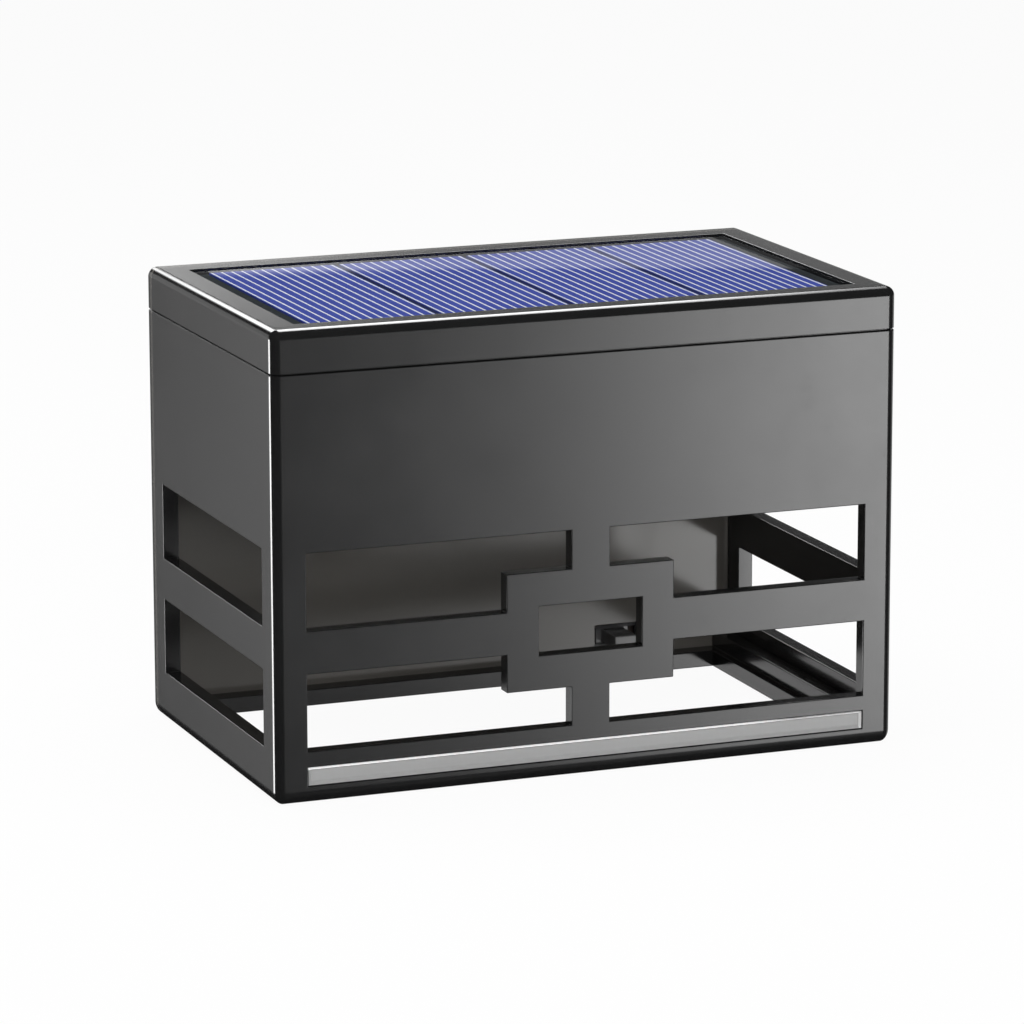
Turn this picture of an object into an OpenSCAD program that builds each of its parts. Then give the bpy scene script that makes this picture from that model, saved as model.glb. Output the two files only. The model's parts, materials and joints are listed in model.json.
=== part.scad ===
// Solar fence light: a dark moulded housing with stepped fretwork windows and an open foot,
// a lid with a recessed solar panel, a closed tray under the lid that holds the battery,
// the circuit board and the downward light, and a slide switch low on the back wall.
// X runs across the front, Y from the front to the back, Z up.
// The origin is the middle of the bottom of the light's outer box.

/* [Housing] */
// Width of the housing across its front
width = 120; // [114:1:150]
// Depth of the housing from its front face to its back face
depth = 72; // [69:1:90]
// Height of the closed band above the windows, up to the seam below the lid
band_h = 32; // [31:0.5:45]
// Thickness of the housing's walls
wall = 3; // [2.6:0.1:3.2]
// Radius of the rounded outer edges
edge_r = 1.75; // [1:0.05:1.8]
// Radius of the upright corners inside the walls
inner_r = 1; // [0.6:0.1:1.2]

/* [Fretwork] */
// Height of the rail below the lower windows
bottom_rail_h = 9.5; // [9:0.1:11]
// Height of each row of windows
window_h = 14.1; // [12:0.1:15]
// Height of the rail between the two rows
mid_rail_h = 7.8; // [6:0.1:9]
// Solid margin at each side of the front windows
front_margin = 6; // [5:0.1:9]
// Solid margin in front of the side windows
side_front_margin = 6.7; // [5:0.1:9]
// Solid margin behind the side windows
side_back_margin = 8.3; // [6:0.1:12]
// Width of the centre post
post_w = 7.4; // [5:0.1:10]
// Width of the stepped centre block
block_w = 32.4; // [28:0.1:40]
// Height of the stepped centre block
block_h = 21.8; // [18:0.1:26]
// Width of the window in the centre block
eye_w = 20; // [14:0.5:22]
// Height of the window in the centre block
eye_h = 9.1; // [6:0.1:12]

/* [Light bar] */
// Length of the light bar's face
bar_w = 108; // [80:1:108]
// Height of the light bar's face
bar_h = 3.2; // [2.4:0.1:3.6]
// Height of the light bar's lower edge above the foot
bar_z = 3.3; // [3:0.1:3.8]
// Width and depth of the bevel round the light bar's face
bar_bevel = 0.55; // [0.3:0.05:0.8]
// Thickness of the flange behind the light bar
bar_flange_t = 1; // [0.8:0.1:1.2]
// Reach of the flange past the face on every side
bar_flange_reach = 1; // [0.6:0.1:1.2]

/* [Bottom frame] */
// Height of the lip round the open foot
lip_h = 3.1; // [2.5:0.1:3.4]
// Width of the lip, beyond the step above it
lip_w = 1.5; // [1:0.1:2.5]
// Height of the step behind the lip
step_h = 6.2; // [5:0.1:8]
// Width of the step, from the housing's wall
step_w = 3.2; // [2.6:0.1:4.5]
// Width of the low bar along the back wall
rear_bar_w = 4; // [3:0.1:6]

/* [Lid] */
// Height of the lid above the seam
lid_h = 8; // [7.5:0.1:12]
// Lid margin at each side of the solar panel
recess_side = 6.1; // [5.8:0.1:9]
// Lid margin in front of the solar panel
recess_front = 5.6; // [5.5:0.1:8]
// Lid margin behind the solar panel
recess_back = 7; // [5.5:0.1:9]
// Depth of the solar panel's face below the lid's top
recess_drop = 0.3; // [0.2:0.05:0.8]
// Thickness of the shelf that carries the solar panel
shelf_t = 1.8; // [1.4:0.1:2]
// Height of the shadow groove along the seam
seam_gap = 0.3; // [0.2:0.05:0.5]
// Depth of the shadow groove along the seam
seam_depth = 0.6; // [0.4:0.1:1]
// Thickness of the tongue that drops inside the housing
tongue_t = 2; // [1.8:0.1:2.2]
// Depth of the tongue below the seam
tongue_h = 2; // [1.5:0.1:3]

/* [Solar panel] */
// Number of cells side by side
cell_count = 4; // [3:1:5]
// Gap between neighbouring cells
cell_gap = 1.1; // [0.6:0.1:1.5]
// Dark margin at each side of the row of cells
cell_side_margin = 3.6; // [2:0.1:6]
// Dark margin in front of and behind the cells
cell_end_margin = 1.2; // [0.8:0.1:3]
// Thickness of the panel's backing board
solar_board_t = 1.4; // [1:0.1:1.6]
// Thickness of a cell
cell_t = 0.4; // [0.3:0.05:0.6]
// Thickness of the clear cover over the cells
solar_cover_t = 0.4; // [0.3:0.05:0.8]

/* [Light tray] */
// Thickness of the tray's floor
tray_floor_t = 1.8; // [1.5:0.1:2.5]
// Thickness of the tray's walls
tray_wall = 1.8; // [1.5:0.1:2]
// Thickness of the seal between the tray and the lid
seal_t = 1.2; // [0.8:0.1:1.6]
// Width across the housing's corner lugs
lug_w = 9; // [8.5:0.1:10]
// Thickness of the housing's corner lugs
lug_t = 4; // [3.5:0.1:5]
// Outer diameter of the tray's screw tubes
tube_d = 7; // [6.2:0.1:7.6]

/* [Downward light] */
// Length of the frosted lens that shows below the tray
lens_l = 60; // [50:1:64]
// Width of the frosted lens
lens_w = 14; // [12:0.5:16]
// Drop of the lens below the tray's floor
lens_drop = 1.8; // [1:0.1:2.5]
// Wall thickness of the lens
lens_wall = 1.4; // [1:0.1:2]
// Number of light chips
chip_count = 5; // [3:1:6]
// Distance from one light chip to the next
chip_pitch = 9; // [7:0.5:9]
// Side of a square light chip
chip_w = 5; // [3.5:0.1:5]
// Thickness of a light chip
chip_t = 1.6; // [1:0.1:2]

/* [Battery] */
// Diameter of the battery
battery_d = 14.2; // [13.5:0.1:14.5]
// Length of the battery over its raised end
battery_l = 50; // [48:0.5:52]
// Length of the pressed contact spring
spring_l = 4.5; // [4:0.1:6]
// Diameter of the contact spring's wire
spring_wire_d = 0.6; // [0.5:0.05:0.7]
// Turns of the contact spring
spring_turns = 4; // [3:1:5]

/* [Circuit board] */
// Length of the circuit board
board_l = 60; // [54:1:66]
// Width of the circuit board
board_w = 18; // [17:0.5:20]
// Thickness of every board
board_t = 1.2; // [1:0.1:1.6]

/* [Switch] */
// Distance of the switch from the middle of the light
switch_x = 33.6; // [20:0.1:36]
// Height of the switch above the foot
switch_z = 6.6; // [6.4:0.1:8]
// Width of the knob
knob_w = 4.5; // [3.5:0.1:5]
// Height of the knob
knob_h = 2.6; // [2:0.1:3]
// Reach of the knob in front of the back wall
knob_reach = 4.6; // [3:0.1:6]
// Travel of the knob to each side
knob_travel = 2; // [1.5:0.1:2.2]
// Height of the slot in the back wall
slot_h = 5.2; // [4:0.1:5.4]
// Radius of the slot's corners
slot_r = 0.8; // [0.4:0.1:1]
// Thickness of the housing's skin in front of the switch
slot_skin = 1.5; // [1.2:0.1:1.8]

/* [Back cover] */
// Width of the back cover
cover_w = 96; // [88:1:100]
// Reach of the back cover behind the housing
cover_proud = 4.6; // [4.6:0.1:6]
// Thickness of the back cover's skin
cover_skin = 1.4; // [1.2:0.1:1.6]
// Thickness of the back cover's rim
cover_rim = 1.3; // [1:0.1:1.5]
// Distance between the two fence screw holes
fence_hole_pitch = 76; // [68:1:78]
// Diameter of the fence screw holes
fence_hole_d = 4.5; // [4:0.1:5]
// Height of the fence screw holes above the foot
fence_hole_z = 38.5; // [36:0.5:40]

/* [Wires] */
// Diameter of the wires over their sleeve
wire_d = 1; // [0.8:0.1:1.1]

/* [Screws] */
// Diameter of the long screws that hold the lid
lid_screw_d = 2.9; // [2.5:0.1:3]
// Diameter of the small screws
small_screw_d = 2; // [1.6:0.1:2.2]

/* [Hidden] */
$fn = 64;

// Overrun of every cut past the face that it opens
over = 0.5;
// Clearance of a piece that is pushed into its seat
seat_gap = 0.1;
// Clearance round a moving piece
run_gap = 0.3;

front_y = -(depth + cover_proud) / 2;
inner_w = width - 2 * wall;
inner_d = depth - 2 * wall;

// Rows of windows, from the foot up
row_1 = bottom_rail_h;
row_2 = row_1 + window_h + mid_rail_h;
window_top = row_2 + window_h;
mid_z = row_1 + window_h + mid_rail_h / 2;
body_h = window_top + band_h;
total_h = body_h + lid_h;

// Corner lugs, tray and seal, stacked under the lid
lug_rise = 0.7;
lug_z = window_top + lug_rise;
tray_gap = 0.4;
tray_z = lug_z + lug_t;
tray_floor = tray_z + tray_floor_t;
tongue_z = body_h - tongue_h;
tray_top = tongue_z - seal_t;
tongue_gap = 0.2;
tongue_in = wall + tongue_gap + tongue_t;
tray_in = wall + tray_gap + tray_wall;
tube_inset = 8.5;
tube_bore_gap = 0.4;
tray_corner_r = 1.2;

// Lid and solar panel
panel_t = solar_board_t + cell_t + solar_cover_t;
recess_floor = total_h - recess_drop - panel_t;
recess_w = width - 2 * recess_side;
recess_d = depth - recess_front - recess_back;
recess_r = 0.5;
panel_gap = 0.15;
lead_hole_d = 3;
lead_hole_pitch = 12;
lead_hole_y = depth - tube_inset - tube_d;
lead_pad_d = 1.5;
lead_pad_h = 0.7;
lid_boss_gap = 0.2;
cell_w = (recess_w - 2 * cell_side_margin - (cell_count - 1) * cell_gap) / cell_count;
cell_l = recess_d - 2 * cell_end_margin;

// Downward light
lens_flange = 2;
lens_flange_t = 1.2;
light_y = depth / 2;
light_board_rise = 5;
light_board_end = 9;
light_board_l = lens_l + 2 * light_board_end;
light_board_w = 13;
light_board_z = tray_floor + light_board_rise;
light_post_in = 4;
light_post_x = light_board_l / 2 - light_post_in;
post_d = 5;

// Battery and its contacts
battery_rise = 1.5;
battery_y = 15;
battery_z = tray_floor + battery_rise + battery_d / 2;
battery_nub_d = 5.5;
battery_nub_l = 1;
battery_edge_r = 0.8;
cradle_x = 15;
cradle_t = 3;
cradle_gap = 0.15;
contact_t = 0.4;
contact_w = 10;
contact_h = 12;
contact_gap = 0.1;
end_wall_t = 2.4;
end_wall_w = 13;
end_wall_h = 14;
nub_x = battery_l / 2;
spring_x = -battery_l / 2 - contact_gap;
spring_big_r = 4.2;
spring_small_r = 2.6;

// Circuit board and what it carries
board_rise = 6;
board_z = tray_floor + board_rise;
board_edge_gap = 1.6;
board_y = depth - tray_in - board_edge_gap - board_w / 2;
board_hole_in = 3;
driver_chip_size = [5, 4, 1.5];
driver_chip_x = -14;
inductor_d = 8;
inductor_h = 5;
inductor_x = -3;
capacitor_d = 6.3;
capacitor_h = 7.7;
capacitor_x = 7;
socket_size = [7.4, 5.4, 5];
socket_pitch = 10;
socket_count = 3;
socket_y_in = 3;
socket_cavity = [5.4, 3.8, 4];
part_y_in = 12;

// Switch behind the back wall
slot_w = knob_w + 2 * knob_travel + 2 * run_gap;
pocket_y = depth - wall + slot_skin;
can_skin = 0.6;
slider_side = 1.2;
slider_rise = 0.7;
slider_w = knob_w + 2 * slider_side;
slider_h = knob_h + 2 * slider_rise;
slider_t = 1.2;
can_w = slider_w + 2 * knob_travel + 2 * run_gap + 2 * can_skin;
can_h = slider_h + 2 * run_gap + 2 * can_skin;
can_cavity_t = slider_t + 2 * run_gap;
can_t = can_skin + can_cavity_t;
switch_base_t = 1.1;
switch_board_l = 22;
switch_board_h = 6.4;
switch_board_y = pocket_y + can_t + switch_base_t;
switch_board_t = 0.8;
switch_screw_x = 9;
switch_pilot_l = 1;

// Back cover
cover_foot_gap = 0.2;
cover_seam_gap = 7;
cover_bottom = edge_r + cover_foot_gap;
cover_top = body_h - cover_seam_gap;
cover_h = cover_top - cover_bottom;
cover_post_d = 7;
cover_post_in = 5.5;
cover_post_rise = 14;
cover_head_drop = 1.7;
cover_pilot_l = 2.2;
cover_corner_r = 3;
fence_tube_d = 9;
grommet_rise = 4;
grommet_z = board_z + board_t + grommet_rise;
grommet_side = 6;
grommet_x = switch_x - grommet_side;
grommet_hole_d = 5;
grommet_flange_d = 7.4;
grommet_flange_t = 0.9;
grommet_bore_d = 2.6;

// Wires
wire_pair = 1.2;
wire_sides = 8;
wire_steps = 12;
lead_clear = 4;
lead_top = recess_floor - shelf_t - lead_clear;
lead_drop = 9;
bend_slack = 1.3;
bend_w = 2.2;
board_lead_slack = 3;
board_lead_x = 22;
board_lead_in = 10.5;
light_lead_in = 2;

// Screws
lid_head_d = 5.4;
lid_head_h = 1.8;
lid_head_bore_d = 6.2;
lid_head_drop = 2;
lid_screw_skin = 1.2;
lid_screw_top = recess_floor - lid_screw_skin;
small_head_d = 3.6;
small_head_h = 1.3;
small_screw_l = 5;
small_bore_gap = 0.3;
drive_share = 0.6;
drive_w_share = 0.18;

housing_colour = [0.13, 0.13, 0.135];
copper_colour = [0.72, 0.45, 0.2];
steel_colour = [0.75, 0.76, 0.78];
red_colour = [0.7, 0.08, 0.08];
black_colour = [0.06, 0.06, 0.06];

tube_places = [
    [-width / 2 + tube_inset, tube_inset],
    [width / 2 - tube_inset, tube_inset],
    [-width / 2 + tube_inset, depth - tube_inset],
    [width / 2 - tube_inset, depth - tube_inset]];
board_hole_places = [
    for (sx = [-1, 1], sy = [-1, 1])
        [sx * (board_l / 2 - board_hole_in), board_y + sy * (board_w / 2 - board_hole_in)]];
cover_post_places = [
    for (sx = [-1, 1], z = [cover_bottom + cover_post_rise, cover_top - cover_post_in])
        [sx * (cover_w / 2 - cover_post_in), z]];

// Moves a piece from the housing's front face to its place about the origin
module in_place() {
    translate([0, front_y, 0]) children();
}

// Flat rectangle with round corners, centred in X, from y = 0 back
module round_sheet(w, d, r) {
    translate([-w / 2 + r, 0]) square([w - 2 * r, d]);
    translate([-w / 2, r]) square([w, d - 2 * r]);
    for (x = [-w / 2 + r, w / 2 - r], y = [r, d - r])
        translate([x, y]) circle(r);
}

// Block with round upright corners, standing on z = 0
module round_block(w, d, h, r) {
    linear_extrude(h) round_sheet(w, d, r);
}

// Block whose upright edges and lower edges share one round
module soft_foot_block(w, d, h, r) {
    translate([0, 0, r]) round_block(w, d, h - r, r);
    translate([-w / 2 + r, r, 0]) cube([w - 2 * r, d - 2 * r, 2 * r]);
    for (y = [r, d - r])
        translate([-w / 2 + r, y, r]) rotate([0, 90, 0]) cylinder(h = w - 2 * r, r = r);
    for (x = [-w / 2 + r, w / 2 - r])
        translate([x, r, r]) rotate([-90, 0, 0]) cylinder(h = d - 2 * r, r = r);
    for (x = [-w / 2 + r, w / 2 - r], y = [r, d - r])
        translate([x, y, r]) sphere(r);
}

// Bar with half-round ends, centred on the origin, standing on z = 0
module pill(l, w, h) {
    translate([-(l - w) / 2, -w / 2, 0]) cube([l - w, w, h]);
    for (s = [-1, 1])
        translate([s * (l - w) / 2, 0, 0]) cylinder(h = h, d = w);
}

// Centred plate in X and Z, from y = 0 back
module wall_plate(w, t, h) {
    translate([-w / 2, 0, -h / 2]) cube([w, t, h]);
}

// Rod along Y from y = 0 back
module y_rod(d, l) {
    rotate([-90, 0, 0]) cylinder(h = l, d = d);
}

// Pan-head screw: its shank rises from z = 0, its head hangs below
module screw(d, l, head_d, head_h) {
    cylinder(h = l, d = d);
    difference() {
        translate([0, 0, -head_h]) cylinder(h = head_h, d = head_d);
        for (a = [0, 90])
            rotate([0, 0, a])
                translate([-head_d * drive_share / 2, -head_d * drive_w_share / 2, -head_h - over])
                    cube([head_d * drive_share, head_d * drive_w_share, over + head_h / 2]);
    }
}

// One ring of points round a path, square to its run
function ring(p, t, d, n, up) =
    let (a = cross(t, up), u = a / norm(a), v = cross(t, u))
    [for (k = [0 : n - 1]) p + d / 2 * (cos(360 * k / n) * u + sin(360 * k / n) * v)];

// Direction of a path at point i
function run_at(path, i) =
    let (a = path[max(i - 1, 0)], b = path[min(i + 1, len(path) - 1)])
    (b - a) / norm(b - a);

// Unbroken tube of diameter d along a path, with n sides
module tube(path, d, n, up) {
    m = len(path);
    points = [for (i = [0 : m - 1]) each ring(path[i], run_at(path, i), d, n, up)];
    sides = [for (i = [0 : m - 2], k = [0 : n - 1])
        let (a = i * n + k, b = i * n + (k + 1) % n)
        each [[a, a + n, b], [b, a + n, b + n]]];
    caps = [[for (k = [0 : n - 1]) k], [for (k = [n - 1 : -1 : 0]) (m - 1) * n + k]];
    polyhedron(points = points, faces = concat(sides, caps));
}

// Front face of the fretwork: four stepped windows and the centre one, in X and Z
module front_windows() {
    half = width / 2 - front_margin;
    for (s = [-1, 1]) mirror([s < 0 ? 1 : 0, 0]) {
        translate([block_w / 2, row_1]) square([half - block_w / 2, window_h]);
        translate([post_w / 2, row_1])
            square([half - post_w / 2, mid_z - block_h / 2 - row_1]);
        translate([block_w / 2, row_2]) square([half - block_w / 2, window_h]);
        translate([post_w / 2, mid_z + block_h / 2])
            square([half - post_w / 2, window_top - mid_z - block_h / 2]);
    }
    translate([-eye_w / 2, mid_z - eye_h / 2]) square([eye_w, eye_h]);
}

// Cuts the two side windows through both side walls
module side_windows() {
    for (z = [row_1, row_2])
        translate([-width / 2 - over, side_front_margin, z])
            cube([width + 2 * over, depth - side_front_margin - side_back_margin, window_h]);
}

// Slot of the knob: a rectangle with round corners, in X and Z about the switch's axis
module slot_sheet(w, h, r) {
    translate([-w / 2 + r, -h / 2]) square([w - 2 * r, h]);
    translate([-w / 2, -h / 2 + r]) square([w, h - 2 * r]);
    for (x = [-w / 2 + r, w / 2 - r], z = [-h / 2 + r, h / 2 - r])
        translate([x, z]) circle(r);
}

module at_switch() {
    translate([switch_x, 0, switch_z]) children();
}

module corner_lugs() {
    for (p = tube_places)
        difference() {
            translate([p[0] > 0 ? width / 2 - wall - lug_w : -width / 2 + wall - over,
                       p[1] < depth / 2 ? wall - over : depth - wall - lug_w, lug_z])
                cube([lug_w + over, lug_w + over, lug_t]);
            translate([p[0], p[1], lug_z - over])
                cylinder(h = lug_t + 2 * over, d = lid_screw_d + tube_bore_gap);
            translate([p[0], p[1], lug_z - over])
                cylinder(h = lid_head_drop + over, d = lid_head_bore_d);
        }
}

module housing() {
    color(housing_colour) in_place() {
        difference() {
            soft_foot_block(width, depth, body_h, edge_r);
            translate([0, wall, -over])
                round_block(inner_w, inner_d, body_h + 2 * over, inner_r);
            translate([0, wall + over, 0]) rotate([90, 0, 0])
                linear_extrude(wall + 2 * over) front_windows();
            side_windows();
            translate([-bar_w / 2 - seat_gap, -over, bar_z - seat_gap])
                cube([bar_w + 2 * seat_gap, wall + 2 * over, bar_h + 2 * seat_gap]);
            at_switch() {
                translate([0, depth + over, 0]) rotate([90, 0, 0])
                    linear_extrude(wall + 2 * over) slot_sheet(slot_w, slot_h, slot_r);
                translate([0, pocket_y, 0])
                    wall_plate(can_w + 2 * seat_gap, wall + over, can_h + 2 * seat_gap);
                for (s = [-1, 1])
                    translate([s * switch_screw_x, depth - switch_pilot_l, 0])
                        y_rod(small_screw_d, switch_pilot_l + over);
            }
            for (s = [-1, 1])
                translate([s * fence_hole_pitch / 2, depth - wall - over, fence_hole_z])
                    y_rod(fence_hole_d, wall + 2 * over);
            for (p = cover_post_places)
                translate([p[0], depth - cover_pilot_l, p[1]])
                    y_rod(small_screw_d + seat_gap, cover_pilot_l + over);
            translate([grommet_x, depth - wall - over, grommet_z])
                y_rod(grommet_hole_d, wall + 2 * over);
        }
        corner_lugs();
    }
}

// Section of the bottom frame's side bars: a lip with a step behind it, from the wall inwards
module frame_section() {
    polygon([[0, 0], [step_w + lip_w, 0], [step_w + lip_w, lip_h],
             [step_w, lip_h], [step_w, step_h], [0, step_h]]);
}

module bottom_frame() {
    fw = inner_w - 2 * seat_gap;
    fd = inner_d - 2 * seat_gap;
    color(housing_colour) in_place() difference() {
        translate([0, wall + seat_gap, 0]) intersection() {
            round_block(fw, fd, step_h, inner_r);
            union() {
                for (s = [-1, 1]) mirror([s < 0 ? 1 : 0, 0, 0])
                    translate([fw / 2, fd, 0]) rotate([90, 0, 0])
                        linear_extrude(fd) mirror([1, 0]) frame_section();
                translate([-fw / 2, 0, 0]) rotate([90, 0, 90])
                    linear_extrude(fw) frame_section();
                translate([-fw / 2, fd - rear_bar_w + seat_gap, 0])
                    cube([fw, rear_bar_w - seat_gap, lip_h]);
            }
        }
        translate([-bar_w / 2 - bar_flange_reach - seat_gap, wall - over,
                   bar_z - bar_flange_reach - seat_gap])
            cube([bar_w + 2 * bar_flange_reach + 2 * seat_gap,
                  over + bar_flange_t + seat_gap,
                  bar_h + 2 * bar_flange_reach + 2 * seat_gap]);
    }
}

// Space inside the bevel of the light bar: the mitred meeting of two tapered prisms
module bevel_space() {
    intersection() {
        translate([0, 0, -over]) linear_extrude(bar_h + 2 * over)
            polygon([[-bar_w / 2 - over, -over], [bar_w / 2 + over, -over],
                     [bar_w / 2 - bar_bevel, bar_bevel], [-bar_w / 2 + bar_bevel, bar_bevel]]);
        translate([-bar_w / 2 - over, 0, 0]) rotate([90, 0, 90]) linear_extrude(bar_w + 2 * over)
            polygon([[-over, -over], [-over, bar_h + over],
                     [bar_bevel, bar_h - bar_bevel], [bar_bevel, bar_bevel]]);
    }
}

module light_bar() {
    color([0.63, 0.63, 0.63]) in_place() translate([0, 0, bar_z]) {
        difference() {
            translate([-bar_w / 2, 0, 0]) cube([bar_w, wall, bar_h]);
            bevel_space();
        }
        translate([-bar_w / 2 - bar_flange_reach, wall, -bar_flange_reach])
            cube([bar_w + 2 * bar_flange_reach, bar_flange_t, bar_h + 2 * bar_flange_reach]);
    }
}

module lid() {
    boss_z = tray_top + lid_boss_gap;
    color(housing_colour) in_place() {
        difference() {
            union() {
                translate([0, 0, total_h]) mirror([0, 0, 1])
                    soft_foot_block(width, depth, lid_h, edge_r);
                translate([0, wall + tongue_gap, tongue_z])
                    round_block(inner_w - 2 * tongue_gap, inner_d - 2 * tongue_gap,
                                tongue_h + over, inner_r);
            }
            translate([0, tongue_in, tongue_z - over])
                round_block(width - 2 * tongue_in, depth - 2 * tongue_in,
                            recess_floor - shelf_t - tongue_z + over, inner_r);
            translate([0, recess_front, recess_floor])
                round_block(recess_w, recess_d, total_h - recess_floor + over, recess_r);
            seam_groove();
            for (s = [-1, 1])
                translate([s * lead_hole_pitch / 2, lead_hole_y, recess_floor - shelf_t - over])
                    cylinder(h = shelf_t + 2 * over, d = lead_hole_d);
            lid_pilots();
        }
        for (p = tube_places)
            translate([p[0], p[1], boss_z]) difference() {
                cylinder(h = recess_floor - shelf_t - boss_z + over, d = tube_d);
                translate([0, 0, -over])
                    cylinder(h = recess_floor - boss_z + over, d = lid_screw_d + seat_gap);
            }
    }
}

// Ring-shaped groove along the lid's lower edge
module seam_groove() {
    translate([0, 0, body_h - over]) linear_extrude(seam_gap + over) difference() {
        translate([0, -over]) round_sheet(width + 2 * over, depth + 2 * over, edge_r);
        translate([0, seam_depth])
            round_sheet(width - 2 * seam_depth, depth - 2 * seam_depth, edge_r - seam_depth / 2);
    }
}

// Blind holes of the lid's screws
module lid_pilots() {
    for (p = tube_places)
        translate([p[0], p[1], tongue_z - over])
            cylinder(h = lid_screw_top + seat_gap - tongue_z + over, d = lid_screw_d + seat_gap);
}

module lid_seal() {
    color([0.2, 0.2, 0.22]) in_place() translate([0, 0, tray_top]) linear_extrude(seal_t)
        difference() {
            translate([0, wall + tray_gap])
                round_sheet(inner_w - 2 * tray_gap, inner_d - 2 * tray_gap, tray_corner_r);
            translate([0, tray_in])
                round_sheet(width - 2 * tray_in, depth - 2 * tray_in, tray_corner_r / 2);
            for (p = tube_places) translate(p) circle(d = tube_d + 2 * run_gap);
        }
}

// Centre of cell i, counted from 1, across the panel
function cell_x(i) = -recess_w / 2 + cell_side_margin + cell_w / 2 + (i - 1) * (cell_w + cell_gap);

module panel_sheet() {
    translate([0, recess_front + panel_gap])
        round_sheet(recess_w - 2 * panel_gap, recess_d - 2 * panel_gap, recess_r);
}

module solar_board() {
    color([0.16, 0.18, 0.2]) in_place() translate([0, 0, recess_floor]) difference() {
        linear_extrude(solar_board_t) panel_sheet();
        for (s = [-1, 1])
            translate([s * lead_hole_pitch / 2, lead_hole_y, -over])
                cylinder(h = over + lead_pad_h, d = lead_pad_d);
    }
}

module solar_cell(i) {
    color([0.2, 0.24, 0.56]) in_place()
        translate([cell_x(i) - cell_w / 2, recess_front + cell_end_margin,
                   recess_floor + solar_board_t])
            cube([cell_w, cell_l, cell_t]);
}

module solar_cover() {
    z0 = recess_floor + solar_board_t;
    color([0.7, 0.75, 0.85, 0.35]) in_place() difference() {
        translate([0, 0, z0]) linear_extrude(cell_t + solar_cover_t) panel_sheet();
        for (i = [1 : cell_count])
            translate([cell_x(i) - cell_w / 2, recess_front + cell_end_margin, z0 - over])
                cube([cell_w, cell_l, cell_t + over]);
    }
}

// Ribs that hold the battery, cut to its round
module battery_cradle() {
    for (x = [-cradle_x, cradle_x])
        difference() {
            translate([x - cradle_t / 2, battery_y - end_wall_w / 2, tray_floor - over])
                cube([cradle_t, end_wall_w, battery_z - tray_floor + over]);
            translate([x - cradle_t, battery_y, battery_z]) rotate([0, 90, 0])
                cylinder(h = 2 * cradle_t, d = battery_d + 2 * cradle_gap);
        }
    for (x = [nub_x + contact_gap + contact_t,
              spring_x - spring_l - contact_t - end_wall_t])
        translate([x, battery_y - end_wall_w / 2, tray_floor - over])
            cube([end_wall_t, end_wall_w, end_wall_h + over]);
}

// Post with a pilot hole for a small screw
module screw_post(p, h) {
    translate([p[0], p[1], tray_floor - over]) difference() {
        cylinder(h = h + over, d = post_d);
        translate([0, 0, over + h - small_screw_l])
            cylinder(h = small_screw_l + over, d = small_screw_d + seat_gap);
    }
}

module light_tray() {
    tw = inner_w - 2 * tray_gap;
    td = inner_d - 2 * tray_gap;
    color([0.85, 0.85, 0.83]) in_place() {
        difference() {
            union() {
                difference() {
                    translate([0, wall + tray_gap, tray_z])
                        round_block(tw, td, tray_top - tray_z, tray_corner_r);
                    translate([0, tray_in, tray_floor])
                        round_block(width - 2 * tray_in, depth - 2 * tray_in,
                                    tray_top - tray_floor + over, tray_corner_r / 2);
                }
                for (p = tube_places)
                    translate([p[0], p[1], tray_floor - over])
                        cylinder(h = tray_top - tray_floor + over, d = tube_d);
            }
            for (p = tube_places)
                translate([p[0], p[1], tray_z - over])
                    cylinder(h = tray_top - tray_z + 2 * over, d = lid_screw_d + tube_bore_gap);
            translate([0, light_y, tray_z - over])
                pill(lens_l + 2 * seat_gap, lens_w + 2 * seat_gap, tray_floor_t + 2 * over);
            translate([grommet_x, depth - tray_in - over, grommet_z])
                y_rod(grommet_hole_d, tray_wall + 2 * over);
        }
        battery_cradle();
        for (s = [-1, 1]) screw_post([s * light_post_x, light_y], light_board_rise);
        for (p = board_hole_places) screw_post(p, board_rise);
    }
}

module light_lens() {
    color([0.92, 0.92, 0.9, 0.6]) in_place() translate([0, light_y, 0]) difference() {
        union() {
            translate([0, 0, tray_z - lens_drop])
                pill(lens_l, lens_w, lens_drop + tray_floor_t + over);
            translate([0, 0, tray_floor])
                pill(lens_l + 2 * lens_flange, lens_w + 2 * lens_flange, lens_flange_t);
        }
        translate([0, 0, tray_z - lens_drop + lens_wall])
            pill(lens_l - 2 * lens_wall, lens_w - 2 * lens_wall,
                 lens_drop + tray_floor_t + lens_flange_t + over);
    }
}

module light_board() {
    color([0.9, 0.9, 0.88]) in_place() translate([0, light_y, light_board_z]) difference() {
        translate([-light_board_l / 2, -light_board_w / 2, 0])
            cube([light_board_l, light_board_w, board_t]);
        for (s = [-1, 1])
            translate([s * light_post_x, 0, -over])
                cylinder(h = board_t + 2 * over, d = small_screw_d + small_bore_gap);
    }
}

module light_chip(i) {
    color([0.95, 0.9, 0.5]) in_place()
        translate([(i - (chip_count + 1) / 2) * chip_pitch - chip_w / 2,
                   light_y - chip_w / 2, light_board_z - chip_t]) difference() {
            cube([chip_w, chip_w, chip_t]);
            translate([chip_w / 2, chip_w / 2, -over])
                cylinder(h = over + chip_t / 4, d = chip_w * 3 / 4);
        }
}

module circuit_board() {
    color([0.05, 0.35, 0.15]) in_place() translate([0, board_y, board_z]) difference() {
        translate([-board_l / 2, -board_w / 2, 0]) cube([board_l, board_w, board_t]);
        for (p = board_hole_places)
            translate([p[0], p[1] - board_y, -over])
                cylinder(h = board_t + 2 * over, d = small_screw_d + small_bore_gap);
    }
}

// Places a part on the circuit board, x along it and y back from its front edge
module on_board(x, y) {
    translate([x, board_y - board_w / 2 + y, board_z + board_t]) children();
}

module driver_chip() {
    s = driver_chip_size;
    color([0.12, 0.12, 0.12]) in_place() on_board(driver_chip_x, part_y_in)
        translate([-s[0] / 2, -s[1] / 2, 0]) cube(s);
}

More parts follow.
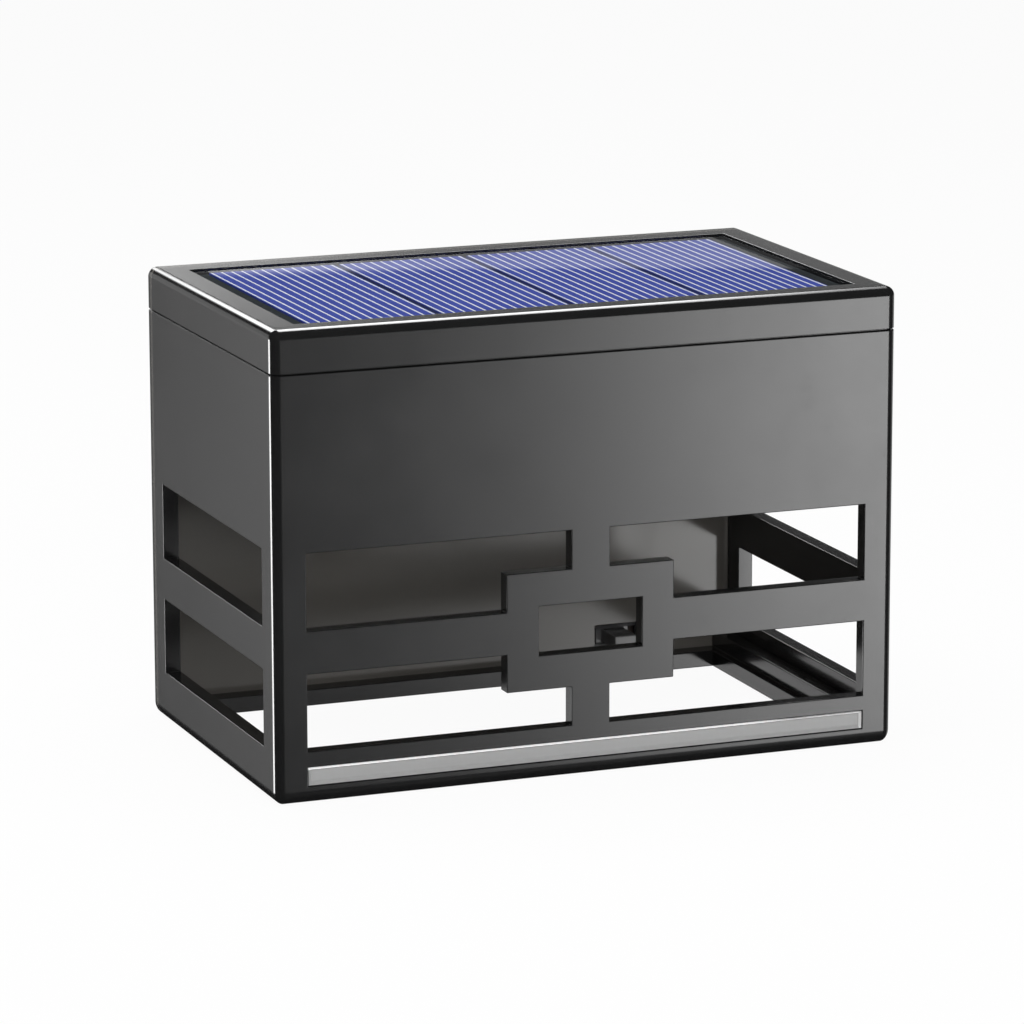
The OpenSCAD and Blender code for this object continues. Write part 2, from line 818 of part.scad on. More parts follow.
module inductor() {
    color(copper_colour) in_place() on_board(inductor_x, part_y_in) {
        for (z = [0, inductor_h * 4 / 5]) translate([0, 0, z])
            cylinder(h = inductor_h / 5, d = inductor_d);
        cylinder(h = inductor_h, d = inductor_d * 4 / 5);
    }
}

module capacitor() {
    groove = capacitor_d / 16;
    color([0.15, 0.15, 0.2]) in_place() on_board(capacitor_x, part_y_in) difference() {
        cylinder(h = capacitor_h, d = capacitor_d);
        translate([0, 0, capacitor_d / 4]) rotate_extrude()
            translate([capacitor_d / 2, 0]) circle(groove);
    }
}

module wire_sockets() {
    color([0.92, 0.9, 0.85]) in_place()
        for (i = [0 : socket_count - 1])
            on_board((i - (socket_count - 1) / 2) * socket_pitch, socket_y_in) difference() {
                translate([-socket_size[0] / 2, -socket_size[1] / 2, 0]) cube(socket_size);
                translate([-socket_cavity[0] / 2, -socket_cavity[1] / 2,
                           socket_size[2] - socket_cavity[2]])
                    cube([socket_cavity[0], socket_cavity[1], socket_cavity[2] + over]);
            }
}

module battery() {
    r = battery_d / 2;
    body = battery_l - battery_nub_l;
    e = battery_edge_r;
    color([0.1, 0.45, 0.25]) in_place()
        translate([-battery_l / 2, battery_y, battery_z]) rotate([0, 90, 0]) rotate_extrude()
            polygon([[0, 0], [r - e, 0], [r, e], [r, body - e], [r - e, body],
                     [battery_nub_d / 2, body], [battery_nub_d / 2, battery_l], [0, battery_l]]);
}

module battery_plate() {
    color(steel_colour) in_place()
        translate([nub_x + contact_gap, battery_y - contact_w / 2, battery_z - contact_h / 2])
            cube([contact_t, contact_w, contact_h]);
}

// Tapered coil between the battery's flat end and its plate
module battery_spring() {
    steps = 10;
    r = spring_wire_d / 2;
    n = spring_turns * steps;
    run = spring_l - r;
    path = [for (i = [0 : n])
        let (s = i / n, rad = spring_small_r + (spring_big_r - spring_small_r) * s)
        [-r - run * s, rad * cos(360 * i / steps), rad * sin(360 * i / steps)]];
    color(steel_colour) in_place() translate([spring_x, battery_y, battery_z]) {
        tube(path, spring_wire_d, 6, [1, 0, 0]);
        translate([-spring_l - contact_t, -contact_w / 2, -contact_h / 2])
            cube([contact_t, contact_w, contact_h]);
    }
}

module switch_can() {
    color([0.3, 0.3, 0.31]) in_place() at_switch() translate([0, pocket_y, 0]) difference() {
        wall_plate(can_w, can_t, can_h);
        translate([0, can_skin, 0])
            wall_plate(can_w - 2 * can_skin, can_t, can_h - 2 * can_skin);
        translate([0, -over, 0])
            wall_plate(slot_w, can_t, knob_h + 2 * run_gap);
    }
}

module switch_base() {
    color([0.25, 0.16, 0.1]) in_place() at_switch() translate([0, pocket_y + can_t, 0]) {
        wall_plate(can_w, switch_base_t, can_h);
    }
}

module switch_knob() {
    tip_y = depth - wall - knob_reach;
    slider_y = pocket_y + can_skin + run_gap;
    color([0.08, 0.08, 0.08]) in_place() at_switch() {
        translate([0, tip_y, 0]) wall_plate(knob_w, slider_y - tip_y + over, knob_h);
        translate([0, slider_y, 0]) wall_plate(slider_w, slider_t, slider_h);
    }
}

module switch_board() {
    color([0.05, 0.35, 0.15]) in_place() at_switch() translate([0, switch_board_y, 0])
        difference() {
            wall_plate(switch_board_l, switch_board_t, switch_board_h);
            for (s = [-1, 1])
                translate([s * switch_screw_x, -over, 0])
                    y_rod(small_screw_d + small_bore_gap, switch_board_t + 2 * over);
        }
}

module back_cover() {
    inside = cover_proud - cover_skin;
    color(housing_colour) in_place() translate([0, depth, 0]) difference() {
        union() {
            difference() {
                translate([0, cover_proud, cover_bottom]) rotate([90, 0, 0])
                    round_block(cover_w, cover_h, cover_proud, cover_corner_r);
                translate([0, inside, cover_bottom + cover_rim]) rotate([90, 0, 0])
                    round_block(cover_w - 2 * cover_rim, cover_h - 2 * cover_rim,
                                inside + over, cover_corner_r - cover_rim);
            }
            for (p = cover_post_places)
                translate([p[0], 0, p[1]]) y_rod(cover_post_d, inside + over);
            for (s = [-1, 1])
                translate([s * fence_hole_pitch / 2, 0, fence_hole_z])
                    y_rod(fence_tube_d, inside + over);
        }
        for (p = cover_post_places) {
            translate([p[0], -over, p[1]])
                y_rod(small_screw_d + small_bore_gap, cover_proud + 2 * over);
            translate([p[0], cover_proud - cover_head_drop, p[1]])
                y_rod(small_head_d + small_bore_gap, cover_head_drop + over);
        }
        for (s = [-1, 1])
            translate([s * fence_hole_pitch / 2, -over, fence_hole_z])
                y_rod(fence_hole_d, cover_proud + 2 * over);
    }
}

module wire_grommet() {
    hole_l = tray_wall + tray_gap + wall;
    color([0.1, 0.1, 0.1]) in_place()
        translate([grommet_x, depth - hole_l, grommet_z]) difference() {
            union() {
                y_rod(grommet_hole_d - 2 * seat_gap, hole_l);
                translate([0, -grommet_flange_t, 0]) y_rod(grommet_flange_d, grommet_flange_t);
            }
            translate([0, -grommet_flange_t - over, 0])
                y_rod(grommet_bore_d, hole_l + grommet_flange_t + 2 * over);
        }
}

// Curve of points that leaves a towards a + m and reaches b from b + n
function curve(a, m, b, n) =
    [for (i = [0 : wire_steps])
        let (t = i / wire_steps, u = 1 - t)
        pow(u, 3) * a + 3 * t * pow(u, 2) * (a + m) + 3 * pow(t, 2) * u * (b + n) + pow(t, 3) * b];

// Rise of a wire's pull from p towards the free space under the lid
function lift(p) = [0, 0, lead_top - p[2]];

// Place of socket i's contact on side s, at the floor of its cavity
function socket_end(i, s) =
    [(i - (socket_count - 1) / 2) * socket_pitch + s * wire_pair,
     board_y - board_w / 2 + socket_y_in, board_z + board_t + socket_size[2] - socket_cavity[2]];

module wire(path, up) {
    in_place() tube(path, wire_d, wire_sides, up);
}

// From the solar panel's pad on side s, down through the lid's shelf to the first socket
module solar_lead(s) {
    a = [s * lead_hole_pitch / 2, lead_hole_y, recess_floor + lead_pad_h];
    wire(curve(a, [0, 0, -lead_drop], socket_end(0, s), [0, 0, lead_drop]), [1, 0.4, 0]);
}

// From a battery contact's top edge, over the light board, to the second socket
module battery_lead(x, s) {
    a = [x, battery_y, battery_z + contact_h / 2];
    b = socket_end(1, s);
    wire(curve(a, lift(a), b, lift(b)), [s, 0.5, 0]);
}

// From the rear edge of the light board to the third socket
module light_lead(s) {
    b = socket_end(2, s);
    a = [b[0], light_y + light_board_w / 2 - light_lead_in, light_board_z + board_t];
    wire(curve(a, lift(a), b, lift(b)), [1, 0, 0]);
}

// From the circuit board through the grommet, down behind the back wall, to the switch board
module switch_lead(s) {
    x = grommet_x + s * wire_pair / 2;
    pad = [board_lead_x + s * wire_pair, board_y - board_w / 2 + board_lead_in, board_z + board_t];
    bore_in = [x, depth - tray_in - grommet_flange_t, grommet_z];
    bore_out = [x, depth, grommet_z];
    turned = [x, depth + bend_w, grommet_z - bend_w];
    foot = [x, switch_board_y + switch_board_t / 2, switch_z + switch_board_h / 2];
    wire(concat(curve(pad, [0, 0, board_lead_slack], bore_in, [0, -board_lead_slack, 0]),
                curve(bore_out, [0, bend_slack, 0], turned, [0, 0, bend_slack]),
                [foot + [0, 0, board_lead_slack], foot]),
         [1, 0, 0]);
}

module lid_screws() {
    seat = lug_z + lid_head_drop;
    color(steel_colour) in_place()
        for (p = tube_places)
            translate([p[0], p[1], seat])
                screw(lid_screw_d, lid_screw_top - seat, lid_head_d, lid_head_h);
}

// Small screw that points down from its seat
module screw_down(l) {
    mirror([0, 0, 1]) screw(small_screw_d, l, small_head_d, small_head_h);
}

module light_board_screws() {
    color(steel_colour) in_place()
        for (s = [-1, 1])
            translate([s * light_post_x, light_y, light_board_z + board_t])
                screw_down(small_screw_l);
}

module circuit_board_screws() {
    color(steel_colour) in_place()
        for (p = board_hole_places)
            translate([p[0], p[1], board_z + board_t]) screw_down(small_screw_l);
}

module switch_screws() {
    l = switch_board_y - depth + switch_pilot_l + switch_board_t - seat_gap;
    color(steel_colour) in_place() at_switch()
        for (s = [-1, 1])
            translate([s * switch_screw_x, switch_board_y + switch_board_t, 0])
                rotate([90, 0, 0]) cylinder(h = l, d = small_screw_d - 2 * seat_gap);
}

module cover_screws() {
    color(steel_colour) in_place()
        for (p = cover_post_places)
            translate([p[0], depth + cover_proud - cover_head_drop, p[1]]) rotate([90, 0, 0])
                screw(small_screw_d, cover_proud - cover_head_drop + cover_pilot_l - seat_gap,
                      small_head_d, small_head_h);
}

housing();
bottom_frame();
light_bar();
lid();
lid_seal();
solar_board();
solar_cover();
for (i = [1 : cell_count])
    solar_cell(i);
light_tray();
light_lens();
light_board();
for (i = [1 : chip_count])
    light_chip(i);
circuit_board();
driver_chip();
inductor();
capacitor();
wire_sockets();
color(red_colour) solar_lead(-1);  // solar_lead_red
color(black_colour) solar_lead(1);  // solar_lead_black
color(red_colour) battery_lead(nub_x + contact_gap + contact_t / 2, 1);  // battery_lead_red
color(black_colour) battery_lead(spring_x - spring_l - contact_t / 2, -1);  // battery_lead_black
color(red_colour) light_lead(-1);  // light_lead_red
color(black_colour) light_lead(1);  // light_lead_black
color(red_colour) switch_lead(-1);  // switch_lead_red
color(black_colour) switch_lead(1);  // switch_lead_black
battery();
battery_plate();
battery_spring();
switch_can();
switch_base();
switch_knob();
switch_board();
back_cover();
wire_grommet();
lid_screws();
light_board_screws();
circuit_board_screws();
switch_screws();
cover_screws();
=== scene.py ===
# Looks of a solar fence light: a black moulded housing with fretwork windows, a lid with a solar
# panel, a pale light bar low on the front and a slide switch inside the back wall.
import json
import math

import bmesh
import bpy
import numpy as np
from mathutils import Matrix, Vector


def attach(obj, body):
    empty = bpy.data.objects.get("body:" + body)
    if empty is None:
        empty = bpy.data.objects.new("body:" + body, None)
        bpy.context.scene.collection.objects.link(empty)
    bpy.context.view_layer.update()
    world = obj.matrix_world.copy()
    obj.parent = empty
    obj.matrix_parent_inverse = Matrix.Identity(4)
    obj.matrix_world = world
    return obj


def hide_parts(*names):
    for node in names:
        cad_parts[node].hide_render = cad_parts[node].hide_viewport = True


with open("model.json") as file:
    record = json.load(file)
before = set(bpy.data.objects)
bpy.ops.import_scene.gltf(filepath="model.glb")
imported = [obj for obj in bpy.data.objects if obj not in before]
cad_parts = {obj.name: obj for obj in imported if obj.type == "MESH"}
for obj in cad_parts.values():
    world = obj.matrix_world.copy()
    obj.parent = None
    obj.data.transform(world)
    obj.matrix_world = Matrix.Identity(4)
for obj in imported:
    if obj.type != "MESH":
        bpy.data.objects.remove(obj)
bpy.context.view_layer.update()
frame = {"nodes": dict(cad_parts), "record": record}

# Sizes of the light in millimetres. X across, Y back from the housing's front face, Z up.
MM = 0.001
WIDTH, DEPTH, SEAM_Z, TOP_Z = 120.0, 72.0, 77.5, 85.5
FRONT_Y = -38.3
WALL = 3.0
EDGE_R, INNER_R, FOOT_RISE = 1.75, 1.0, 2.45
OUTER_X, OUTER_Y = [(-WIDTH / 2, 1), (WIDTH / 2, -1)], [(0, 1), (DEPTH, -1)]

# Windows: rows in height, the centre post, block and eye across and in height, and the side windows
ROWS = ((9.5, 23.6), (31.4, 45.5))
WINDOW_X = 54.0
POST_X, BLOCK_X = 3.7, 16.2
BLOCK_Z = (16.6, 38.4)
EYE_X, EYE_Z = 10.0, (22.95, 32.05)
SIDE_Y = (6.7, 63.7)

# Light bar and the ring inside the foot
BAR_X, BAR_Z, BAR_H, BAR_BEVEL = 54.0, 3.3, 3.2, 0.55
BAR_FLANGE_T, BAR_FLANGE = 1.0, 1.0
BAR_LIP, BAR_LIP_Y = 0.04, 0.12
SEAT = 0.1
LIP_H, LIP_W, STEP_H, STEP_W, REAR_BAR_W = 3.1, 1.5, 6.2, 3.2, 4.0

# Lid, its recess, the seam's groove and the clear sheet
RECESS_X, RECESS_Y, RECESS_Z = 53.9, (5.6, 65.0), 83.0
SHELF_T, TONGUE_GAP, TONGUE_IN, TONGUE_Z = 1.8, 0.2, 5.2, 75.5
GROOVE_H, GROOVE_D = 0.3, 0.6
SHEET_GAP, SHEET_Z, SHEET_TOP = 0.15, 84.82, 85.2

# Cells: four strips side by side with a small gap between them, and the print on each
CELL_COUNT, CELL_GAP, SIDE_MARGIN = 4, 1.1, 3.6
CELL_W = (2 * RECESS_X - 2 * SIDE_MARGIN - (CELL_COUNT - 1) * CELL_GAP) / CELL_COUNT
CELL_PITCH = CELL_W + CELL_GAP
CELL_START = CELL_PITCH * CELL_COUNT / 2
FINGERS, FINGER_W, CELL_RIM = 13, 0.38, 0.8

# Switch: its slot and pocket in the back wall, and the knob on its slider
SWITCH_X, SWITCH_Z = 33.6, 6.6
SLOT_W, SLOT_H, SLOT_R = 9.1, 5.2, 0.8
POCKET_Y, POCKET_W, POCKET_H = 70.5, 12.9, 6.0
KNOB_W, KNOB_H, KNOB_TIP = 4.5, 2.6, 64.4
SLIDER_Y, SLIDER_W, SLIDER_H, SLIDER_T = 71.4, 6.9, 4.0, 1.2
KNOB_ROOT = 0.5

# Back cover, its holes for fence screws and for its own screws, and the square plates round them
COVER_X, BACK_Z = 48.0, (1.95, 70.5)
COVER_PROUD, COVER_SKIN, COVER_RIM, COVER_R = 4.6, 1.4, 1.3, 3.0
COVER_BACK = DEPTH + COVER_PROUD
POST_HOLES = [(s * 42.5, z) for s in (-1, 1) for z in (15.95, 65.0)]
FENCE_HOLES = [(s * 38.0, 38.5) for s in (-1, 1)]
POST_PLATE, POST_BORE_R, POST_HEAD_R, POST_HEAD_DROP, POST_SOFT = 2.4, 1.15, 1.95, 1.7, 0.2
FENCE_PLATE, FENCE_BORE_R, FENCE_SOFT = 4.6, 2.25, 0.3

# Corner lugs, and the lens with the insets of its rings
LUG_W, LUG_Z, LUG_T, LUG_IN = 9.0, 46.2, 4.0, 8.5
LUG_BORE_R, LUG_HEAD_R, LUG_HEAD_DROP = 1.65, 3.1, 2.0
LENS_L, LENS_W, LENS_Z, LENS_TOP, LENS_R = 60.0, 14.0, 48.4, 52.5, 1.0
LENS_RINGS = (3.0, 5.0, 6.9)

# Small rounds of the edges
CREASE_R, LID_EDGE_R, RECESS_CORNER_R = 0.16, 0.1, 0.5
COVER_EDGE_R, KNOB_EDGE_R, SHEET_EDGE_R = 0.35, 0.22, 0.12

# How finely the rounds are cut, and the angles from which an edge counts as flat, sharp or creased
BEVEL_STEPS, SHEET_BEVEL_STEPS, ARC_STEPS = 5, 3, 6
HOLE_STEPS, PILL_STEPS, LENS_STEPS = 64, 24, 8
FLAT_BELOW, SHARP_ABOVE, CREASED_ABOVE = [math.radians(a) for a in (0.4, 40, 32)]
# How far a cut reaches past the face that it cuts, the slack in comparing two places, and the
# weight with which the wide faces set the normals at a round
OVER, SAME, FULL_WEIGHT = 1.0, 1e-4, 100


def in_row(points):
    """Points in the light's own millimetres, moved to the shared frame in metres."""
    return (np.asarray(points, float) + (0, FRONT_Y, 0)) * MM


def add_mesh(name, points, faces):
    """A mesh object at the origin, with its place in its mesh and its faces shaded smooth."""
    mesh = bpy.data.meshes.new(name)
    mesh.from_pydata(in_row(points).tolist(), [], faces)
    mesh.polygons.foreach_set("use_smooth", np.ones(len(mesh.polygons), bool))
    mesh.update()
    piece = bpy.data.objects.new(name, mesh)
    bpy.context.scene.collection.objects.link(piece)
    return piece


def box(x, y, z):
    """A box's ranges along the three axes."""
    return (tuple(x), tuple(y), tuple(z))


def lattice(add, cut=(), extra=((), (), ())):
    """Points and quads of a union of boxes less other boxes. The boxes' faces and the extra planes
    give three sets of grid planes, a grid cell is full where a box adds it and none cuts it, and a
    quad stands between each full cell and an empty neighbour, wound so that it faces the empty
    one."""
    boxes = np.array(list(add) + list(cut), float)
    planes = [np.unique(np.concatenate([boxes[:, k].ravel(), extra[k]]).round(6))
              for k in range(3)]
    mids = [(p[1:] + p[:-1]) / 2 for p in planes]
    full = np.zeros([len(m) for m in mids], bool)
    for i, b in enumerate(boxes):
        inside = [(m > lo) & (m < hi) for m, (lo, hi) in zip(mids, b)]
        full[np.ix_(*inside)] = i < len(add)
    full = np.pad(full, 1)
    shape = np.array([len(p) for p in planes])
    stride = np.array([shape[1] * shape[2], shape[2], 1])
    quads = []
    for k in range(3):
        u, v = [a for a in range(3) if a != k]
        lower = np.take(full, range(full.shape[k] - 1), k)
        upper = np.take(full, range(1, full.shape[k]), k)
        for sign, found in ((1, lower & ~upper), (-1, upper & ~lower)):
            at = np.argwhere(found)
            at[:, [u, v]] -= 1
            base = at @ stride
            across = base + stride[u]
            ring = np.stack([base, across, across + stride[v], base + stride[v]], 1)
            turn = sign if k != 1 else -sign
            quads.append(ring if turn > 0 else ring[:, ::-1])
    quads = np.concatenate(quads)
    used, faces = np.unique(quads, return_inverse=True)
    index = np.stack(np.unravel_index(used, shape), 1)
    points = np.stack([planes[k][index[:, k]] for k in range(3)], 1)
    return points, faces.reshape(quads.shape).tolist()


def around(centre, width):
    """The range of a width about a centre."""
    return (centre - width / 2, centre + width / 2)


def near(a, b):
    """Whether two places are the same."""
    return np.abs(a - b) < SAME


def fillet_planes(sides, radius):
    """Grid planes that cut a quarter turn into even steps. Each side is a place and the way
    inwards: a plane stands at the arc's centre plus radius times the tangent of each angle up to
    45 degrees."""
    turns = np.tan(np.arange(ARC_STEPS + 1) * math.pi / 4 / ARC_STEPS)
    return np.concatenate([place + way * radius * (1 - turns) for place, way in sides])


def fillet(points, low, high, radius):
    """Rounds the edges of a box from low to high. A point is its nearest point on the box less the
    radius, plus a step outwards; the step keeps its direction, and its longest part becomes its
    length, so that square rings turn into round ones."""
    low, high = np.array(low, float), np.array(high, float)
    core = np.clip(points, low + radius, high - radius)
    step = points - core
    length = np.sqrt((step ** 2).sum(1))
    longest = np.abs(step).max(1)
    return core + step * np.where(length > 0, longest / np.maximum(length, 1e-9), 0)[:, None]


def round_edges(piece, radius_of, steps=BEVEL_STEPS):
    """Joins the flat quads of a lattice and rounds its sharp edges. radius_of takes an edge's
    middle in millimetres and the axis that it runs along, and gives its radius."""
    work = bmesh.new()
    work.from_mesh(piece.data)
    bmesh.ops.dissolve_limit(work, angle_limit=FLAT_BELOW, verts=work.verts, edges=work.edges)
    weight = work.edges.layers.float.new("bevel_weight_edge")
    radii = {}
    for edge in work.edges:
        if edge.calc_face_angle(0) > SHARP_ABOVE:
            a, b = [v.co / MM - Vector((0, FRONT_Y, 0)) for v in edge.verts]
            along = max(range(3), key=lambda k: abs(b[k] - a[k]))
            radii[edge] = radius_of((a + b) / 2, along)
    largest = max(radii.values())
    for edge, radius in radii.items():
        edge[weight] = radius / largest
    work.to_mesh(piece.data)
    work.free()
    bevel = piece.modifiers.new("rounds", "BEVEL")
    bevel.limit_method = "WEIGHT"
    bevel.width = largest * MM
    bevel.segments = steps
    bevel.use_clamp_overlap = False
    level = piece.modifiers.new("flat_faces_stay_flat", "WEIGHTED_NORMAL")
    level.mode = "FACE_AREA"
    level.weight = FULL_WEIGHT
    return piece


def grid_faces(rows, columns, close_rows=False, close_columns=False):
    """Quads of a grid of points, row by row; a closed way joins its last line to its first."""
    i = np.arange(rows if close_rows else rows - 1)[:, None]
    j = np.arange(columns if close_columns else columns - 1)[None, :]
    i1, j1 = (i + 1) % rows, (j + 1) % columns
    quads = np.stack([i * columns + j, i * columns + j1, i1 * columns + j1, i1 * columns + j], -1)
    return quads.reshape(-1, 4)


def round_turn(n, start=0.0, sweep=math.tau, ends=False):
    """Angles of n steps round a turn, from start."""
    return start + sweep * np.arange(n + (1 if ends else 0)) / n


def hole_plate(centre, axis, half, near_face, far_face, steps_in):
    """Square block with a round stepped hole along an axis. Round the hole the angle runs, and
    across it the section goes from the square's edge on the near face, down the hole's steps, and
    out to the square's edge on the far face; each point is the centre plus its radius along the
    angle."""
    a = round_turn(HOLE_STEPS, math.pi / 4)
    square = half / np.maximum(np.abs(np.cos(a)), np.abs(np.sin(a)))
    section = [(square, near_face), *steps_in, (square, far_face)]
    first, second = [k for k in range(3) if k != axis]
    rings = np.empty((len(section), HOLE_STEPS, 3))
    for ring, (radius, depth) in zip(rings, section):
        ring[:, axis] = depth
        ring[:, first] = centre[0] + radius * np.cos(a)
        ring[:, second] = centre[1] + radius * np.sin(a)
    faces = grid_faces(len(section), HOLE_STEPS, close_rows=True, close_columns=True)
    return rings.reshape(-1, 3), faces


def turn_outward(piece):
    """Makes the faces of a closed mesh point outwards."""
    work = bmesh.new()
    work.from_mesh(piece.data)
    bmesh.ops.recalc_face_normals(work, faces=work.faces)
    work.to_mesh(piece.data)
    work.free()
    return piece


def join_parts(name, parts):
    """One mesh of several closed solids that make one moulding."""
    points, faces, count = [], [], 0
    for p, f in parts:
        points.append(p)
        faces += (np.asarray(f) + count).tolist()
        count += len(p)
    return add_mesh(name, np.concatenate(points), faces)


def creased(piece):
    """Lets the shading break at a piece's steep edges."""
    piece.data.set_sharp_from_angle(angle=CREASED_ABOVE)
    return piece


def put(piece, node, slot, body="root"):
    """Gives a piece its slot's finish and lets it stand for a CAD node."""
    piece.data.materials.clear()
    piece.data.materials.append(FINISHES[slot])
    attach(piece, body)
    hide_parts(node)
    return piece


class Value:
    """A number that varies over a surface. Sums and products of it add Math nodes."""

    def __init__(self, finish, socket):
        self.finish, self.socket = finish, socket

    def math(self, operation, *others):
        terms = dict(enumerate((self, *others)))
        return self.finish.node("ShaderNodeMath", {"operation": operation}, terms)

    def __add__(self, other):
        return self.math("ADD", other)

    def __sub__(self, other):
        return self.math("SUBTRACT", other)

    def __mul__(self, other):
        return self.math("MULTIPLY", other)

    def __truediv__(self, other):
        return self.math("DIVIDE", other)

    def __rsub__(self, other):
        return self.finish.node("ShaderNodeMath", {"operation": "SUBTRACT"}, {0: other, 1: self})

    __radd__, __rmul__ = __add__, __mul__

    def __pow__(self, other):
        return self.math("POWER", other)

    def wave(self):
        """Distance of a repeating count from its nearest whole number, 0 to 0.5."""
        return self.math("PINGPONG", 0.5)

    def below(self, limit):
        return self.math("LESS_THAN", limit)

    def above(self, limit):
        return self.math("GREATER_THAN", limit)

    def rise(self, start, end):
        """Smooth step from 0 at start to 1 at end; it falls where end is the lower."""
        return self.finish.node("ShaderNodeMapRange", {"interpolation_type": "SMOOTHSTEP"},
                                {0: self, 1: start, 2: end})


class Finish:
    """A material, or the world, and its nodes."""

    def __init__(self, name, kind="materials"):
        self.material = getattr(bpy.data, kind).new(name)
        self.material.use_nodes = True
        self.output = "ShaderNodeOutputWorld" if kind == "worlds" else "ShaderNodeOutputMaterial"
        self.tree = self.material.node_tree
        self.tree.nodes.clear()

    def node(self, kind, settings=None, sockets=None, out=0):
        """Adds a node of a type, with its settings and then its sockets' values or links."""
        made = self.tree.nodes.new(kind)
        for key, value in (settings or {}).items():
            setattr(made, key, value)
        for key, value in (sockets or {}).items():
            socket = made.inputs[key]
            if isinstance(value, Value):
                self.tree.links.new(value.socket, socket)
            elif socket.type == "RGBA":
                socket.default_value = (*value, 1)
            else:
                socket.default_value = value
        return Value(self, made.outputs[out]) if len(made.outputs) else self.material

    def place(self, axis=None):
        """Object coordinates in millimetres of the shared frame, or one of them."""
        here = self.node("ShaderNodeTexCoord", out="Object")
        scaled = self.node("ShaderNodeVectorMath", {"operation": "SCALE"},
                           {0: here, "Scale": 1 / MM})
        if axis is None:
            return scaled
        return self.node("ShaderNodeSeparateXYZ", {}, {0: scaled}, out=axis)

    def noise(self, size, detail=3.0, roughness=0.5):
        """Cloudy value near 0.5, with lumps about size millimetres across."""
        return self.node("ShaderNodeTexNoise", {}, {"Vector": self.place(), "Scale": 1 / size,
                                                    "Detail": detail, "Roughness": roughness},
                         out="Fac")

    def blend(self, factor, a, b):
        """Colour a where factor is 0 and b where it is 1."""
        return self.node("ShaderNodeMix", {"data_type": "RGBA"}, {0: factor, 6: a, 7: b}, out=2)

    def bump(self, height, distance, strength):
        """Normals of a surface raised by height times distance millimetres."""
        return self.node("ShaderNodeBump", {}, {"Height": height, "Distance": distance * MM,
                                                "Strength": strength}, out="Normal")

    def surface(self, **sockets):
        """Finishes the material with one main shader; its sockets' names have _ for a space."""
        named = {k.replace("_", " "): v for k, v in sockets.items()}
        shader = self.node("ShaderNodeBsdfPrincipled", {}, named)
        return self.show(shader)

    def show(self, shader):
        """Finishes the material, or the world, with a shader."""
        self.node(self.output, sockets={"Surface": shader})
        return self.material


# Moulded plastic: its grain, its glossier skin, the marks that dull it and how near the back wall's
# inner face its painted light (a lighter colour standing in for light inside) reaches
GRAIN, GRAIN_DEPTH = 0.22, 0.002
SKIN, SKIN_ROUGHNESS = 0.15, 0.1
MARK_ABOVE, MARK_DULL, PAINTED_LIGHT_REACH = 0.66, 0.015, 0.5
# Light bar: the pitch of its prisms, and the painted highlight that glows on its top bevel and
# where it fades out
RIB_PITCH, TOP_HIGHLIGHT, TOP_HIGHLIGHT_FADE = 1.2, 0.35, (40.0, 32.0)
# Cells and circuit board: the size of the crystals, and the pitch and edge of the copper tracks
CRYSTAL, TRACK_PITCH, TRACK_EDGE = 2.6, 1.9, 0.42


def moulded_plastic(name, dark, light, roughness, inside=None):
    """Moulded plastic: a fine spark-eroded grain under a glossier skin, faint flow clouds in its
    colour and gloss, and a few handling marks that dull it. The inner face of the back wall may
    be painted lighter, as painted light standing in for the light that reaches inside."""
    f = Finish(name)
    clouds = f.noise(size=18.0, detail=4.0)
    colour = f.blend(clouds, dark, light)
    # Painted light: the band at the back wall's inner face is painted lighter, standing in for the
    # light that reaches inside.
    if inside:
        low, high = around(FRONT_Y + DEPTH - WALL, 2 * PAINTED_LIGHT_REACH)
        y = f.place("Y")
        colour = f.blend(y.above(low) * y.below(high), colour, inside)
    marks = f.noise(size=5.0, detail=6.0, roughness=0.7)
    dull = marks.above(MARK_ABOVE) * MARK_DULL
    rough = clouds * 0.05 + marks * 0.04 + dull + (roughness - 0.045)
    grain = f.noise(GRAIN, detail=2.0)
    return f.surface(Base_Color=colour, Roughness=rough, Coat_Weight=SKIN,
                     Coat_Roughness=SKIN_ROUGHNESS,
                     Normal=f.bump(grain, GRAIN_DEPTH, strength=0.18))


def milky_bar(dark, light, edge):
    """Milky light guide: its top bevel and right end are painted paler as painted highlights, and
    the prisms behind the face show as faint ribs. A painted highlight also glows as emission on the
    top bevel, and fades out before the right end."""
    f = Finish("light_grey_bar")
    x, z = f.place("X"), f.place("Z")
    face_end = BAR_X - BAR_BEVEL
    top = z.above(BAR_Z + BAR_H - BAR_BEVEL * 0.6) * x.below(face_end)
    right_end = x.above(face_end)
    ribs = (x / RIB_PITCH).wave()
    clouds = f.noise(size=14.0)
    face = f.blend(clouds * 0.7 + ribs * 0.3, dark, light)
    # Painted highlight: emission on the top bevel, fading out before the right end.
    highlight_level = top * x.rise(*TOP_HIGHLIGHT_FADE) * TOP_HIGHLIGHT
    painted_highlight = f.node("ShaderNodeCombineColor", {}, {0: highlight_level, 1: highlight_level, 2: highlight_level}, out="Color")
    # The top bevel, and the right end at half strength, take the pale edge colour as painted
    # highlights.
    return f.surface(Base_Color=f.blend(top + right_end * 0.5, face, edge),
                     Roughness=clouds * 0.08 + 0.36, Coat_Weight=SKIN,
                     Coat_Roughness=SKIN_ROUGHNESS, Emission_Color=painted_highlight,
                     Emission_Strength=1.0,
                     Normal=f.bump(f.noise(size=0.3, detail=2.0), GRAIN_DEPTH, strength=0.3))


